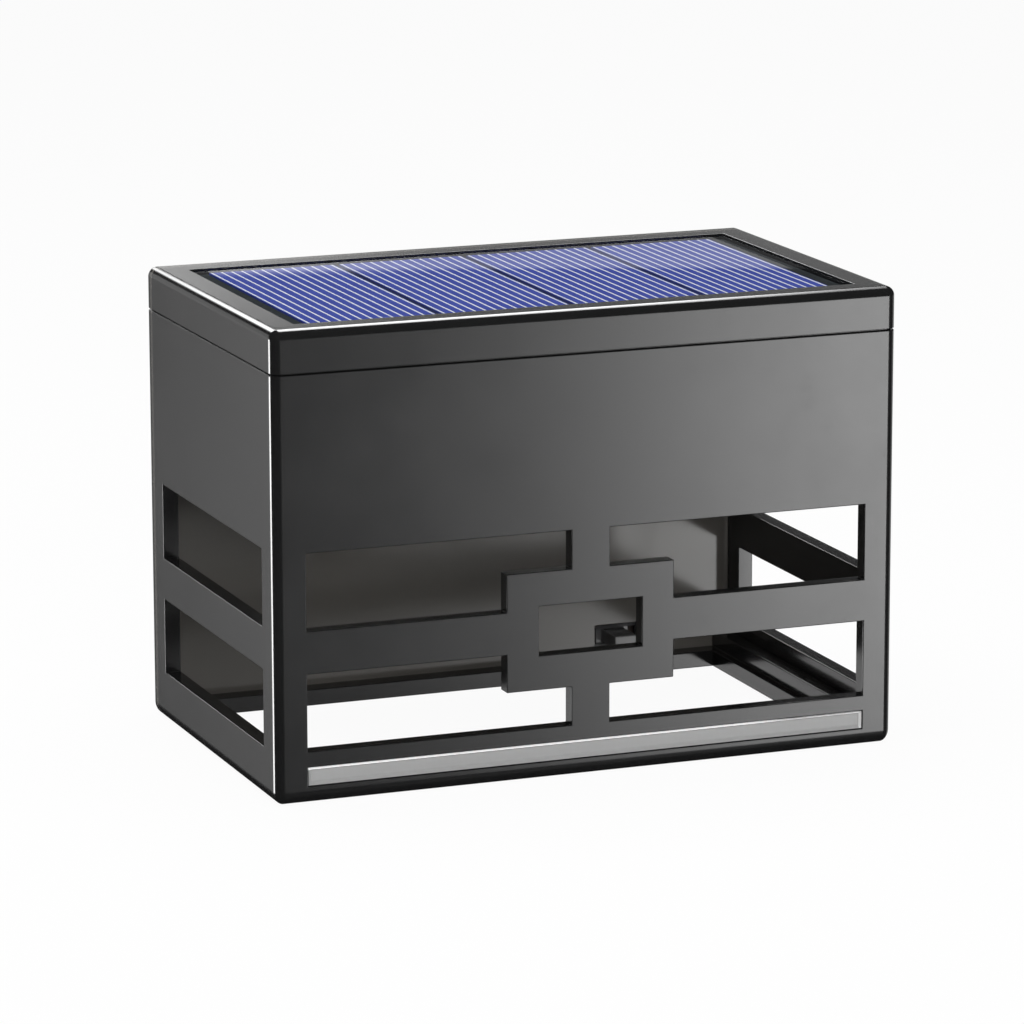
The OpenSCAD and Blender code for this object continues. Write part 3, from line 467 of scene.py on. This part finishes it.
def solar_silicon(dark, light, print_colour):
    """Blue silicon: large crystals that differ a little, pale finger lines from front to back, and
    a plain rim where the print stops short of the edge."""
    f = Finish("solar_silicon")
    crystal = f.node("ShaderNodeTexVoronoi", {"feature": "F1"},
                     {"Vector": f.place(), "Scale": 1 / CRYSTAL}, out="Color")
    shade = f.node("ShaderNodeSeparateColor", {}, {0: crystal}, out=0)
    fine = f.noise(size=0.5)
    blue = f.blend(shade * 0.45 + fine * 0.25, dark, light)
    across = f.place("X") + CELL_START
    pitch = CELL_PITCH / FINGERS
    finger = (across / pitch).wave().above(0.5 - FINGER_W / pitch / 2)
    printed = (across / CELL_PITCH).wave().above(CELL_RIM / CELL_PITCH)
    return f.surface(Base_Color=f.blend(finger * printed, blue, print_colour),
                     Roughness=0.34 - finger * 0.08 + fine * 0.06, Specular_IOR_Level=0.0,
                     Normal=f.bump(finger + fine * 0.2, distance=0.01, strength=0.5))


def clear_sheet():
    """Clear resin: it shows what lies under it, and mirrors more as the surface turns away. Only
    its top meets air, and it mirrors less past the cells' outer edges."""
    f = Finish("clear_resin")
    facing = f.node("ShaderNodeLayerWeight", {}, {"Blend": 0.5}, out="Facing")
    inner = f.node("ShaderNodeNewGeometry", out="Backfacing")
    x = f.place("X")
    over_cells = x.above(-CELL_START) * x.below(CELL_START) * 0.8 + 0.2
    mirror = (facing ** 5.0 * 0.6 + 0.03) * (1.0 - inner) * over_cells
    rough = f.noise(size=4.0) * 0.004 + 0.002
    ripple = f.bump(f.noise(size=9.0, detail=1.0), distance=0.0006, strength=0.05)
    clear = f.node("ShaderNodeBsdfTransparent", {}, {"Color": (0.97, 0.97, 0.98)})
    gloss = f.node("ShaderNodeBsdfGlossy", {}, {"Color": (0.9, 0.9, 0.92), "Roughness": rough,
                                                "Normal": ripple})
    return f.show(f.node("ShaderNodeMixShader", {}, {0: mirror, 1: clear, 2: gloss}))


def circuit_green(resist, over_copper):
    """Green solder resist with copper tracks that show as a raised, paler square weave."""
    f = Finish("solder_resist")
    x, y = f.place("X"), f.place("Y")
    patch = f.noise(size=4.0, detail=1.0)
    track = (x / TRACK_PITCH).wave().above(TRACK_EDGE) * patch.above(0.5)
    cross = (y / TRACK_PITCH).wave().above(TRACK_EDGE) * patch.below(0.5)
    tracks = track + cross
    return f.surface(Base_Color=f.blend(tracks, resist, over_copper),
                     Roughness=0.3 + f.noise(size=2.0) * 0.1,
                     Normal=f.bump(tracks, distance=0.03, strength=0.6))


def plain_part(name, colour, other, roughness, size, metallic=0.0, bump=0.01, gloss=0.5):
    """A small part's finish: its colour drifts to another in patches of a size in millimetres, with
    a matching gloss and bump."""
    f = Finish(name)
    patches = f.noise(size, detail=4.0)
    fine = f.noise(size / 12, detail=2.0)
    return f.surface(Base_Color=f.blend(patches, colour, other), Metallic=metallic,
                     Roughness=patches * 0.12 + (roughness - 0.06), Specular_IOR_Level=gloss,
                     Normal=f.bump(fine, bump, strength=0.5))


# Small parts: two colours, roughness and the size of the patches, then metallic, bump and gloss
SMALL_PARTS = {
    "board_dark": ((0.026, 0.03, 0.032), (0.04, 0.046, 0.046), 0.4, 6.0, 0.0, 0.01, 0.0),
    "tray_white": ((0.7, 0.7, 0.68), (0.76, 0.76, 0.74), 0.5, 8.0),
    "lens_frost": ((0.78, 0.78, 0.75), (0.86, 0.86, 0.84), 0.55, 4.0),
    "seal_rubber": ((0.02, 0.02, 0.022), (0.035, 0.035, 0.037), 0.7, 2.0),
    "chip_yellow": ((0.75, 0.66, 0.2), (0.84, 0.76, 0.3), 0.35, 1.5),
    "chip_black": ((0.02, 0.02, 0.02), (0.035, 0.035, 0.035), 0.5, 1.0),
    "coil_copper": ((0.6, 0.28, 0.1), (0.72, 0.38, 0.16), 0.3, 0.6, 0.9, 0.05),
    "socket_ivory": ((0.76, 0.73, 0.62), (0.84, 0.81, 0.7), 0.45, 3.0),
    "battery_sleeve": ((0.03, 0.2, 0.08), (0.05, 0.26, 0.11), 0.25, 6.0),
    "contact_steel": ((0.58, 0.58, 0.6), (0.68, 0.68, 0.7), 0.3, 1.0, 1.0),
    "screw_steel": ((0.5, 0.5, 0.52), (0.62, 0.62, 0.63), 0.35, 0.8, 1.0),
    "switch_dark": ((0.05, 0.05, 0.052), (0.07, 0.07, 0.072), 0.4, 1.5),
    "switch_brown": ((0.05, 0.04, 0.034), (0.065, 0.054, 0.046), 0.6, 1.0),
    "wire_red": ((0.42, 0.02, 0.02), (0.5, 0.03, 0.03), 0.45, 2.0),
    "wire_black": ((0.02, 0.02, 0.02), (0.03, 0.03, 0.03), 0.45, 2.0),
}
FINISHES = {name: plain_part(name, *recipe) for name, recipe in SMALL_PARTS.items()}
# The housing's inside colour is painted light on the back wall's inner face, standing in for the
# light inside.
FINISHES["housing_black"] = moulded_plastic("housing_black", (0.0085, 0.0086, 0.0088),
                                            (0.0115, 0.0116, 0.0118), 0.15,
                                            inside=(0.1, 0.094, 0.086))
# The knob's colour is painted lighter than the housing's black, as a painted reflection of the
# front light on its end.
FINISHES["knob_black"] = moulded_plastic("knob_black", (0.1, 0.1, 0.101), (0.115, 0.115, 0.116),
                                         0.16)
# The light bar's third colour is the painted highlight on its top bevel and right end.
FINISHES["light_grey_bar"] = milky_bar((0.355, 0.355, 0.355), (0.38, 0.38, 0.38),
                                       (0.97, 0.97, 0.97))
FINISHES["solar_blue"] = solar_silicon((0.066, 0.092, 0.38), (0.08, 0.115, 0.45),
                                       (0.86, 0.9, 0.94))
FINISHES["board_green"] = circuit_green((0.02, 0.16, 0.06), (0.04, 0.27, 0.11))
FINISHES["solar_clear"] = clear_sheet()

for part in frame["record"]["subparts"]:
    node = frame["nodes"][part["node"]]
    node.data.materials.clear()
    node.data.materials.append(FINISHES[part["material_slot"]])


def fretwork():
    """Openings of the front face: stepped windows beside the centre post and block, and the eye in
    the block."""
    y = (-OVER, WALL + OVER)
    cuts = [box((-EYE_X, EYE_X), y, EYE_Z)]
    for low, high in ROWS:
        step = (low, BLOCK_Z[0]) if low < BLOCK_Z[0] else (BLOCK_Z[1], high)
        for s in (-1, 1):
            cuts.append(box(sorted((s * BLOCK_X, s * WINDOW_X)), y, (low, high)))
            cuts.append(box(sorted((s * POST_X, s * WINDOW_X)), y, step))
    return cuts


def by_plate(x, z, holes, half):
    """Whether a place is on the square round a hole, whose edges stay sharp."""
    return any(abs(x - px) < half + SAME and abs(z - pz) < half + SAME for px, pz in holes)


def housing_rounds(middle, along):
    """Radius of a housing edge: none by the fence holes' plates, wide in the inner corners and at
    the slot's corners, and a crease elsewhere."""
    x, y, z = middle
    if y > DEPTH / 2 and by_plate(x, z, FENCE_HOLES, FENCE_PLATE):
        return 0
    if along == 2 and near(abs(x), WIDTH / 2 - WALL) and (near(y, WALL) or near(y, DEPTH - WALL)):
        return INNER_R
    if along == 1 and near(abs(x - SWITCH_X), SLOT_W / 2) and near(abs(z - SWITCH_Z), SLOT_H / 2):
        return SLOT_R
    return CREASE_R


def make_housing():
    """Walls with their windows. The round of the foot is an ellipse: heights in it are stretched
    from the edge radius to FOOT_RISE."""
    inner_x = WIDTH / 2 - WALL
    back = (DEPTH - WALL - OVER, DEPTH + OVER)
    add = [box((-WIDTH / 2, WIDTH / 2), (0, DEPTH), (0, SEAM_Z))]
    cut = [box((-inner_x, inner_x), (WALL, DEPTH - WALL), (-OVER, SEAM_Z + OVER)), *fretwork()]
    cut += [box((-WIDTH / 2 - OVER, WIDTH / 2 + OVER), SIDE_Y, row) for row in ROWS]
    cut += [box((-BAR_X, BAR_X), (-OVER, WALL + OVER), (BAR_Z - SEAT, BAR_Z + BAR_H + SEAT)),
            box(around(SWITCH_X, SLOT_W), back, around(SWITCH_Z, SLOT_H)),
            box(around(SWITCH_X, POCKET_W), (POCKET_Y, DEPTH + OVER), around(SWITCH_Z, POCKET_H))]
    cut += [box(around(x, 2 * FENCE_PLATE), back, around(z, 2 * FENCE_PLATE))
            for x, z in FENCE_HOLES]
    extra = (fillet_planes(OUTER_X, EDGE_R), fillet_planes(OUTER_Y, EDGE_R),
             fillet_planes([(0, 1)], EDGE_R))
    points, faces = lattice(add, cut, extra)
    points = fillet(points, (-WIDTH / 2, 0, 0), (WIDTH / 2, DEPTH, np.inf), EDGE_R)
    in_round = points[:, 2] < EDGE_R + SAME
    points[in_round, 2] *= FOOT_RISE / EDGE_R
    return round_edges(add_mesh("housing_shell", points, faces), housing_rounds)


def lid_rounds(middle, along):
    """Radius of a lid edge: wider in the recess's corners."""
    x, y, z = middle
    corner = along == 2 and near(abs(x), RECESS_X) and z > RECESS_Z
    return RECESS_CORNER_R if corner else LID_EDGE_R


def make_lid():
    """Cap with a tongue that stands inside the walls, a recess on top and the seam's groove round
    its lower edge."""
    half = WIDTH / 2
    t = WALL + TONGUE_GAP
    groove = (SEAM_Z - OVER, SEAM_Z + GROOVE_H)
    groove_x = half - GROOVE_D
    add = [box((-half, half), (0, DEPTH), (SEAM_Z, TOP_Z)),
           box((-half + t, half - t), (t, DEPTH - t), (TONGUE_Z, SEAM_Z + OVER))]
    cut = [box((-half + TONGUE_IN, half - TONGUE_IN), (TONGUE_IN, DEPTH - TONGUE_IN),
               (TONGUE_Z - OVER, RECESS_Z - SHELF_T)),
           box((-RECESS_X, RECESS_X), RECESS_Y, (RECESS_Z, TOP_Z + OVER)),
           box((-half - OVER, -groove_x), (-OVER, DEPTH + OVER), groove),
           box((groove_x, half + OVER), (-OVER, DEPTH + OVER), groove),
           box((-half, half), (-OVER, GROOVE_D), groove),
           box((-half, half), (DEPTH - GROOVE_D, DEPTH + OVER), groove)]
    extra = (fillet_planes(OUTER_X, EDGE_R), fillet_planes(OUTER_Y, EDGE_R),
             fillet_planes([(TOP_Z, -1)], EDGE_R))
    points, faces = lattice(add, cut, extra)
    points = fillet(points, (-half, 0, -np.inf), (half, DEPTH, TOP_Z), EDGE_R)
    return round_edges(add_mesh("lid_shell", points, faces), lid_rounds)


def make_bottom_frame():
    """Stepped ring inside the foot: a low lip with a higher step behind it on three sides, and a
    low bar along the back wall, with a rebate for the light bar's flange."""
    x1 = WIDTH / 2 - WALL - SEAT
    y0, y1 = WALL + SEAT, DEPTH - WALL - SEAT
    add = [box((-x1, x1), (y1 - REAR_BAR_W, y1), (0, LIP_H))]
    for width, height in ((STEP_W + LIP_W, LIP_H), (STEP_W, STEP_H)):
        add += [box((-x1, width - x1), (y0, y1), (0, height)),
                box((x1 - width, x1), (y0, y1), (0, height)),
                box((-x1, x1), (y0, y0 + width), (0, height))]
    rebate = BAR_X + BAR_FLANGE + SEAT
    low, high = BAR_Z - BAR_FLANGE - SEAT, BAR_Z + BAR_H + BAR_FLANGE + SEAT
    cut = [box((-rebate, rebate), (y0 - OVER, WALL + BAR_FLANGE_T + SEAT), (low, high))]
    return round_edges(add_mesh("foot_frame", *lattice(add, cut)), lambda middle, along: CREASE_R)


def make_light_bar():
    """Shallow dished bar: a flat face inside four 45 degree bevels, then the sides back to a
    flange. The section runs in rings of four corners, each ring an inset and a depth."""
    rings = [(BAR_BEVEL, BAR_BEVEL), (BAR_LIP, BAR_LIP), (0.0, BAR_LIP_Y), (0.0, WALL),
             (-BAR_FLANGE, WALL), (-BAR_FLANGE, WALL + BAR_FLANGE_T)]
    points = []
    for inset, y in rings:
        x = BAR_X - SEAT - inset
        low, high = BAR_Z + inset, BAR_Z + BAR_H - inset
        points += [(-x, y, low), (x, y, low), (x, y, high), (-x, y, high)]
    faces = grid_faces(len(rings), 4, close_columns=True).tolist()
    faces += [[0, 1, 2, 3], [len(points) - 1 - k for k in range(4)]]
    return creased(turn_outward(add_mesh("light_guide_bar", points, faces)))


def make_knob():
    """Switch knob: a finger block that reaches in through the slot, on a wider slider."""
    add = [box(around(SWITCH_X, KNOB_W), (KNOB_TIP, SLIDER_Y + KNOB_ROOT),
               around(SWITCH_Z, KNOB_H)),
           box(around(SWITCH_X, SLIDER_W), (SLIDER_Y, SLIDER_Y + SLIDER_T),
               around(SWITCH_Z, SLIDER_H))]
    return round_edges(add_mesh("knob_finger", *lattice(add)), lambda middle, along: KNOB_EDGE_R)


def cover_rounds(middle, along):
    """Radius of a back cover edge: none by the plates of its holes."""
    x, y, z = middle
    plate = by_plate(x, z, FENCE_HOLES, FENCE_PLATE) or by_plate(x, z, POST_HOLES, POST_PLATE)
    return 0 if plate else COVER_EDGE_R


def make_back_cover():
    """Shallow tray over the switch and the wires, open to the housing's back wall."""
    low, high = BACK_Z
    floor_y = COVER_BACK - COVER_SKIN
    add = [box((-COVER_X, COVER_X), (DEPTH, COVER_BACK), BACK_Z)]
    cut = [box((COVER_RIM - COVER_X, COVER_X - COVER_RIM), (DEPTH - OVER, floor_y),
               (low + COVER_RIM, high - COVER_RIM))]
    for half, holes in ((FENCE_PLATE, FENCE_HOLES), (POST_PLATE, POST_HOLES)):
        cut += [box(around(x, 2 * half), (floor_y - OVER, COVER_BACK + OVER), around(z, 2 * half))
                for x, z in holes]
    extra = (fillet_planes([(-COVER_X, 1), (COVER_X, -1)], COVER_R), (),
             fillet_planes([(low, 1), (high, -1)], COVER_R))
    points, faces = lattice(add, cut, extra)
    points = fillet(points, (-COVER_X, -np.inf, low), (COVER_X, np.inf, high), COVER_R)
    return round_edges(add_mesh("rear_cover_shell", points, faces), cover_rounds)


def pill_outline(half_l, half_w):
    """Points round a bar with half-round ends, counter-clockwise."""
    a = round_turn(PILL_STEPS, -math.pi / 2, math.pi, ends=True)
    run = half_l - half_w
    right = np.stack([run + half_w * np.cos(a), half_w * np.sin(a)], 1)
    return np.concatenate([right, -right])


def make_lens():
    """Frosted lens: pill outlines stacked from its inner rim, down the wall, round the lower edge
    by a quarter turn and across the face to its centre line."""
    section = [(LENS_R, LENS_TOP), (0.0, LENS_TOP)]
    section += [(LENS_R * (1 - math.cos(t)), LENS_Z + LENS_R * (1 - math.sin(t)))
                for t in round_turn(LENS_STEPS, 0, math.pi / 2, ends=True)]
    section += [(inset, LENS_Z) for inset in LENS_RINGS]
    rings = []
    for inset, z in section:
        flat = pill_outline(LENS_L / 2 - inset, LENS_W / 2 - inset)
        rings.append(np.column_stack([flat + (0, DEPTH / 2), np.full(len(flat), z)]))
    n = len(rings[0])
    faces = grid_faces(len(rings), n, close_columns=True).tolist()
    faces += [list(range(n)), list(range(n * (len(rings) - 1), n * len(rings)))]
    return creased(turn_outward(add_mesh("lamp_lens_face", np.concatenate(rings), faces)))


def make_clear_cover():
    """Clear sheet that lies in the lid's recess over the cells."""
    x = RECESS_X - SHEET_GAP
    y = (RECESS_Y[0] + SHEET_GAP, RECESS_Y[1] - SHEET_GAP)
    sheet = add_mesh("solar_clear_sheet", *lattice([box((-x, x), y, (SHEET_Z, SHEET_TOP))]))
    return round_edges(sheet, lambda middle, along: SHEET_EDGE_R, SHEET_BEVEL_STEPS)


def make_rims(name, places, half, near_face, far_face, steps):
    """Plates along Y with stepped holes, for the square openings that a lattice leaves at holes."""
    plates = [hole_plate(p, 1, half, near_face, far_face, steps) for p in places]
    return turn_outward(creased(join_parts(name, plates)))


def make_fence_rims(name, near_face, far_face):
    """Rims of the fence screws' holes in one wall, with softened edges."""
    steps = [(FENCE_BORE_R + FENCE_SOFT, near_face), (FENCE_BORE_R, near_face + FENCE_SOFT),
             (FENCE_BORE_R, far_face - FENCE_SOFT), (FENCE_BORE_R + FENCE_SOFT, far_face)]
    return make_rims(name, FENCE_HOLES, FENCE_PLATE, near_face, far_face, steps)


def make_post_rims():
    """Rims of the holes that sink the back cover's own screws."""
    floor_y = COVER_BACK - POST_HEAD_DROP
    steps = [(POST_BORE_R, DEPTH), (POST_BORE_R, floor_y), (POST_HEAD_R, floor_y),
             (POST_HEAD_R, COVER_BACK - POST_SOFT), (POST_HEAD_R + POST_SOFT, COVER_BACK)]
    return make_rims("cover_screw_rims", POST_HOLES, POST_PLATE, DEPTH, COVER_BACK, steps)


def make_lugs():
    """Corner lugs, each with the stepped hole that holds a lid screw's head."""
    x, half = WIDTH / 2 - LUG_IN, LUG_W - (LUG_IN - WALL)
    head_top = LUG_Z + LUG_HEAD_DROP
    steps = [(LUG_HEAD_R, LUG_Z), (LUG_HEAD_R, head_top), (LUG_BORE_R, head_top),
             (LUG_BORE_R, LUG_Z + LUG_T)]
    lugs = [hole_plate((s * x, y), 2, half, LUG_Z, LUG_Z + LUG_T, steps)
            for s in (-1, 1) for y in (LUG_IN, DEPTH - LUG_IN)]
    return creased(turn_outward(join_parts("corner_lugs", lugs)))


put(make_housing(), "housing", "housing_black")
put(make_lid(), "lid", "housing_black")
put(make_bottom_frame(), "bottom_frame", "housing_black")
put(make_light_bar(), "light_bar", "light_grey_bar")
put(make_knob(), "switch_knob", "knob_black", "knob")
put(make_back_cover(), "back_cover", "housing_black")
put(make_lens(), "light_lens", "lens_frost")
put(make_clear_cover(), "solar_cover", "solar_clear")
put(make_fence_rims("fence_hole_rims", DEPTH - WALL, DEPTH), "housing", "housing_black")
put(make_fence_rims("cover_fence_hole_rims", DEPTH, COVER_BACK), "back_cover", "housing_black")
put(make_post_rims(), "back_cover", "housing_black")
put(make_lugs(), "housing", "housing_black")


# Stage: a pale floor, a world and two soft lamps. A soft box has the way that it is counted from,
# where it rises and falls across and in height, and its radiance
FLOOR_WHITE, FLOOR_TONE, FLOOR_HALF, FLOOR_CLOUD = 0.95, 0.8, 6.0, 900.0
WORLD_LEVEL, GLOSS_LEVEL = 0.21, 0.03
SOFT_BOXES = (("front", (20.6, 26.3, 34.0, 29.0), (-21.0, -11.5, -3.0, -8.0), 9.2),
              ("front", (20.6, 26.3, 34.0, 29.0), (-55.0, -16.0, -3.0, -8.0), 0.5),
              ("front", (0.0, 10.0, 60.0, 40.0), (-24.0, -12.0, -3.0, -8.0), 0.25),
              ("back", (-70.0, -60.0, -15.5, -22.0), (-24.0, -12.0, -3.0, -8.0), 0.9),
              ("back", (-50.0, -40.0, 0.0, -10.0), (-24.0, -12.0, -3.0, -8.0), 0.08),
              ("back", (-64.0, -60.0, -30.0, -48.0), (-24.0, -14.0, -3.0, -8.0), 18.0),
              ("back", (-60.0, -50.0, 50.0, 40.0), (-8.0, -4.0, 9.95, 9.9), 0.52),
              ("back", (-20.0, -10.0, 21.0, 17.6), (-8.0, -4.0, 10.0, 9.9), 1.2),
              ("right", (-0.2, -0.08, 0.38, 0.24), (17.0, 22.0, 29.0, 25.0), 9.0),
              ("right", (0.18, 0.28, 0.43, 0.38), (24.0, 36.0, 68.0, 60.0), 13.0),
              ("back", (30.0, 42.0, 100.0, 80.0), (-34.0, -24.0, -2.0, -8.0), 0.8))
FORWARD_WAY = 9.0


def make_floor():
    """Pale floor: nearly white to the camera, where it keeps a part of the object's shadow."""
    f = Finish("floor_pale")
    seen = f.node("ShaderNodeLightPath", out="Is Camera Ray")
    level = f.noise(FLOOR_CLOUD, detail=2.0) * 0.02 + FLOOR_TONE
    tone = f.node("ShaderNodeCombineColor", {}, {0: level, 1: level, 2: level}, out="Color")
    matte = f.node("ShaderNodeBsdfDiffuse", {}, {"Color": tone})
    white = f.node("ShaderNodeEmission", {}, {"Color": (1.0, 1.0, 1.0), "Strength": 1.0})
    paper = f.show(f.node("ShaderNodeMixShader", {}, {0: seen * FLOOR_WHITE, 1: matte, 2: white}))
    mesh = bpy.data.meshes.new("floor")
    corners = [(x * FLOOR_HALF, y * FLOOR_HALF, 0) for x, y in ((-1, -1), (1, -1), (1, 1), (-1, 1))]
    mesh.from_pydata(corners, [], [(0, 1, 2, 3)])
    mesh.materials.append(paper)
    floor = bpy.data.objects.new("floor", mesh)
    floor.visible_glossy = False
    bpy.context.scene.collection.objects.link(floor)


def make_world():
    """White to the camera, and a low even light. To the gloss it is a dark studio with soft boxes:
    each has places across and heights in degrees between which it rises and falls, and a radiance.
    Across counts turns in degrees from the front or the back, or the share of a rearward way that
    points right; FORWARD_WAY moves the other ways out of that share's reach."""
    f = Finish("studio", "worlds")
    way = f.node("ShaderNodeTexCoord", out="Generated")
    x, y, z = [f.node("ShaderNodeSeparateXYZ", {}, {0: way}, out=k) for k in range(3)]
    degrees = 180 / math.pi
    height = z.math("ARCSINE") * degrees
    across = {"front": x.math("ARCTAN2", y * -1) * degrees, "back": x.math("ARCTAN2", y) * degrees,
              "right": x + y.below(0.0) * FORWARD_WAY}
    boxes = z * 0 + GLOSS_LEVEL
    for kind, sides, heights, radiance in SOFT_BOXES:
        shape = across[kind].rise(*sides[:2]) * across[kind].rise(*sides[2:])
        boxes = boxes + shape * height.rise(*heights[:2]) * height.rise(*heights[2:]) * radiance
    seen = f.node("ShaderNodeLightPath", out="Is Camera Ray")
    gloss = f.node("ShaderNodeLightPath", out="Is Glossy Ray")
    strength = seen * (1 - WORLD_LEVEL) + gloss * (boxes - WORLD_LEVEL) + WORLD_LEVEL
    bpy.context.scene.world = f.show(f.node("ShaderNodeBackground", {}, {"Strength": strength}))


def make_lamp(name, place, facing, along, size, radiance):
    """Soft area lamp at a place in metres. It shines the way it faces, its length runs along the
    other way, size is its width and length, and radiance is its brightness where white is 1."""
    data = bpy.data.lights.new(name, "AREA")
    data.shape = "RECTANGLE"
    data.size, data.size_y = size
    data.energy = radiance * size[0] * size[1] * math.pi
    lamp = bpy.data.objects.new(name, data)
    z = -Vector(facing).normalized()
    x = Vector(along).cross(z).normalized()
    lamp.matrix_world = Matrix.Translation(place) @ Matrix((x, z.cross(x), z)).transposed().to_4x4()
    lamp.visible_camera = lamp.visible_glossy = False
    bpy.context.scene.collection.objects.link(lamp)


make_floor()
make_world()
make_lamp("top_soft", place=(-0.1, 0.1, 0.7), facing=(0, 0, -1), along=(0, 1, 0),
          size=(0.72, 0.6), radiance=3.5)
make_lamp("front_fill", place=(-0.1, -0.95, 0.34), facing=(0.1, 0.95, -0.3), along=(0, 0.3, 0.95),
          size=(0.6, 0.45), radiance=7.0)

# Camera at the photograph's angle
TARGET = Vector((-3.456, -8.3, 42.64)) * MM
AZIMUTH, ELEVATION, ROLL = math.radians(-21.331), math.radians(12.559), math.radians(-0.101)
DISTANCE, LENS_MM, SENSOR_MM = 0.97794, 186.81, 36.0
NEAR_CLIP, FAR_CLIP = 0.01, 50
back_dir = Vector((math.sin(AZIMUTH) * math.cos(ELEVATION),
                   -math.cos(AZIMUTH) * math.cos(ELEVATION), math.sin(ELEVATION)))
right = Vector((math.cos(AZIMUTH), math.sin(AZIMUTH), 0))
up = back_dir.cross(right)
right_rolled = right * math.cos(ROLL) + up * math.sin(ROLL)
up_rolled = up * math.cos(ROLL) - right * math.sin(ROLL)
camera_data = bpy.data.cameras.new("camera")
camera_data.lens, camera_data.sensor_width = LENS_MM, SENSOR_MM
camera_data.clip_start, camera_data.clip_end = NEAR_CLIP, FAR_CLIP
camera = bpy.data.objects.new("camera", camera_data)
turn = Matrix((right_rolled, up_rolled, back_dir)).transposed()
camera.matrix_world = Matrix.Translation(TARGET + back_dir * DISTANCE) @ turn.to_4x4()
bpy.context.scene.collection.objects.link(camera)
bpy.context.scene.camera = camera
bpy.context.scene.view_settings.view_transform = "Standard"
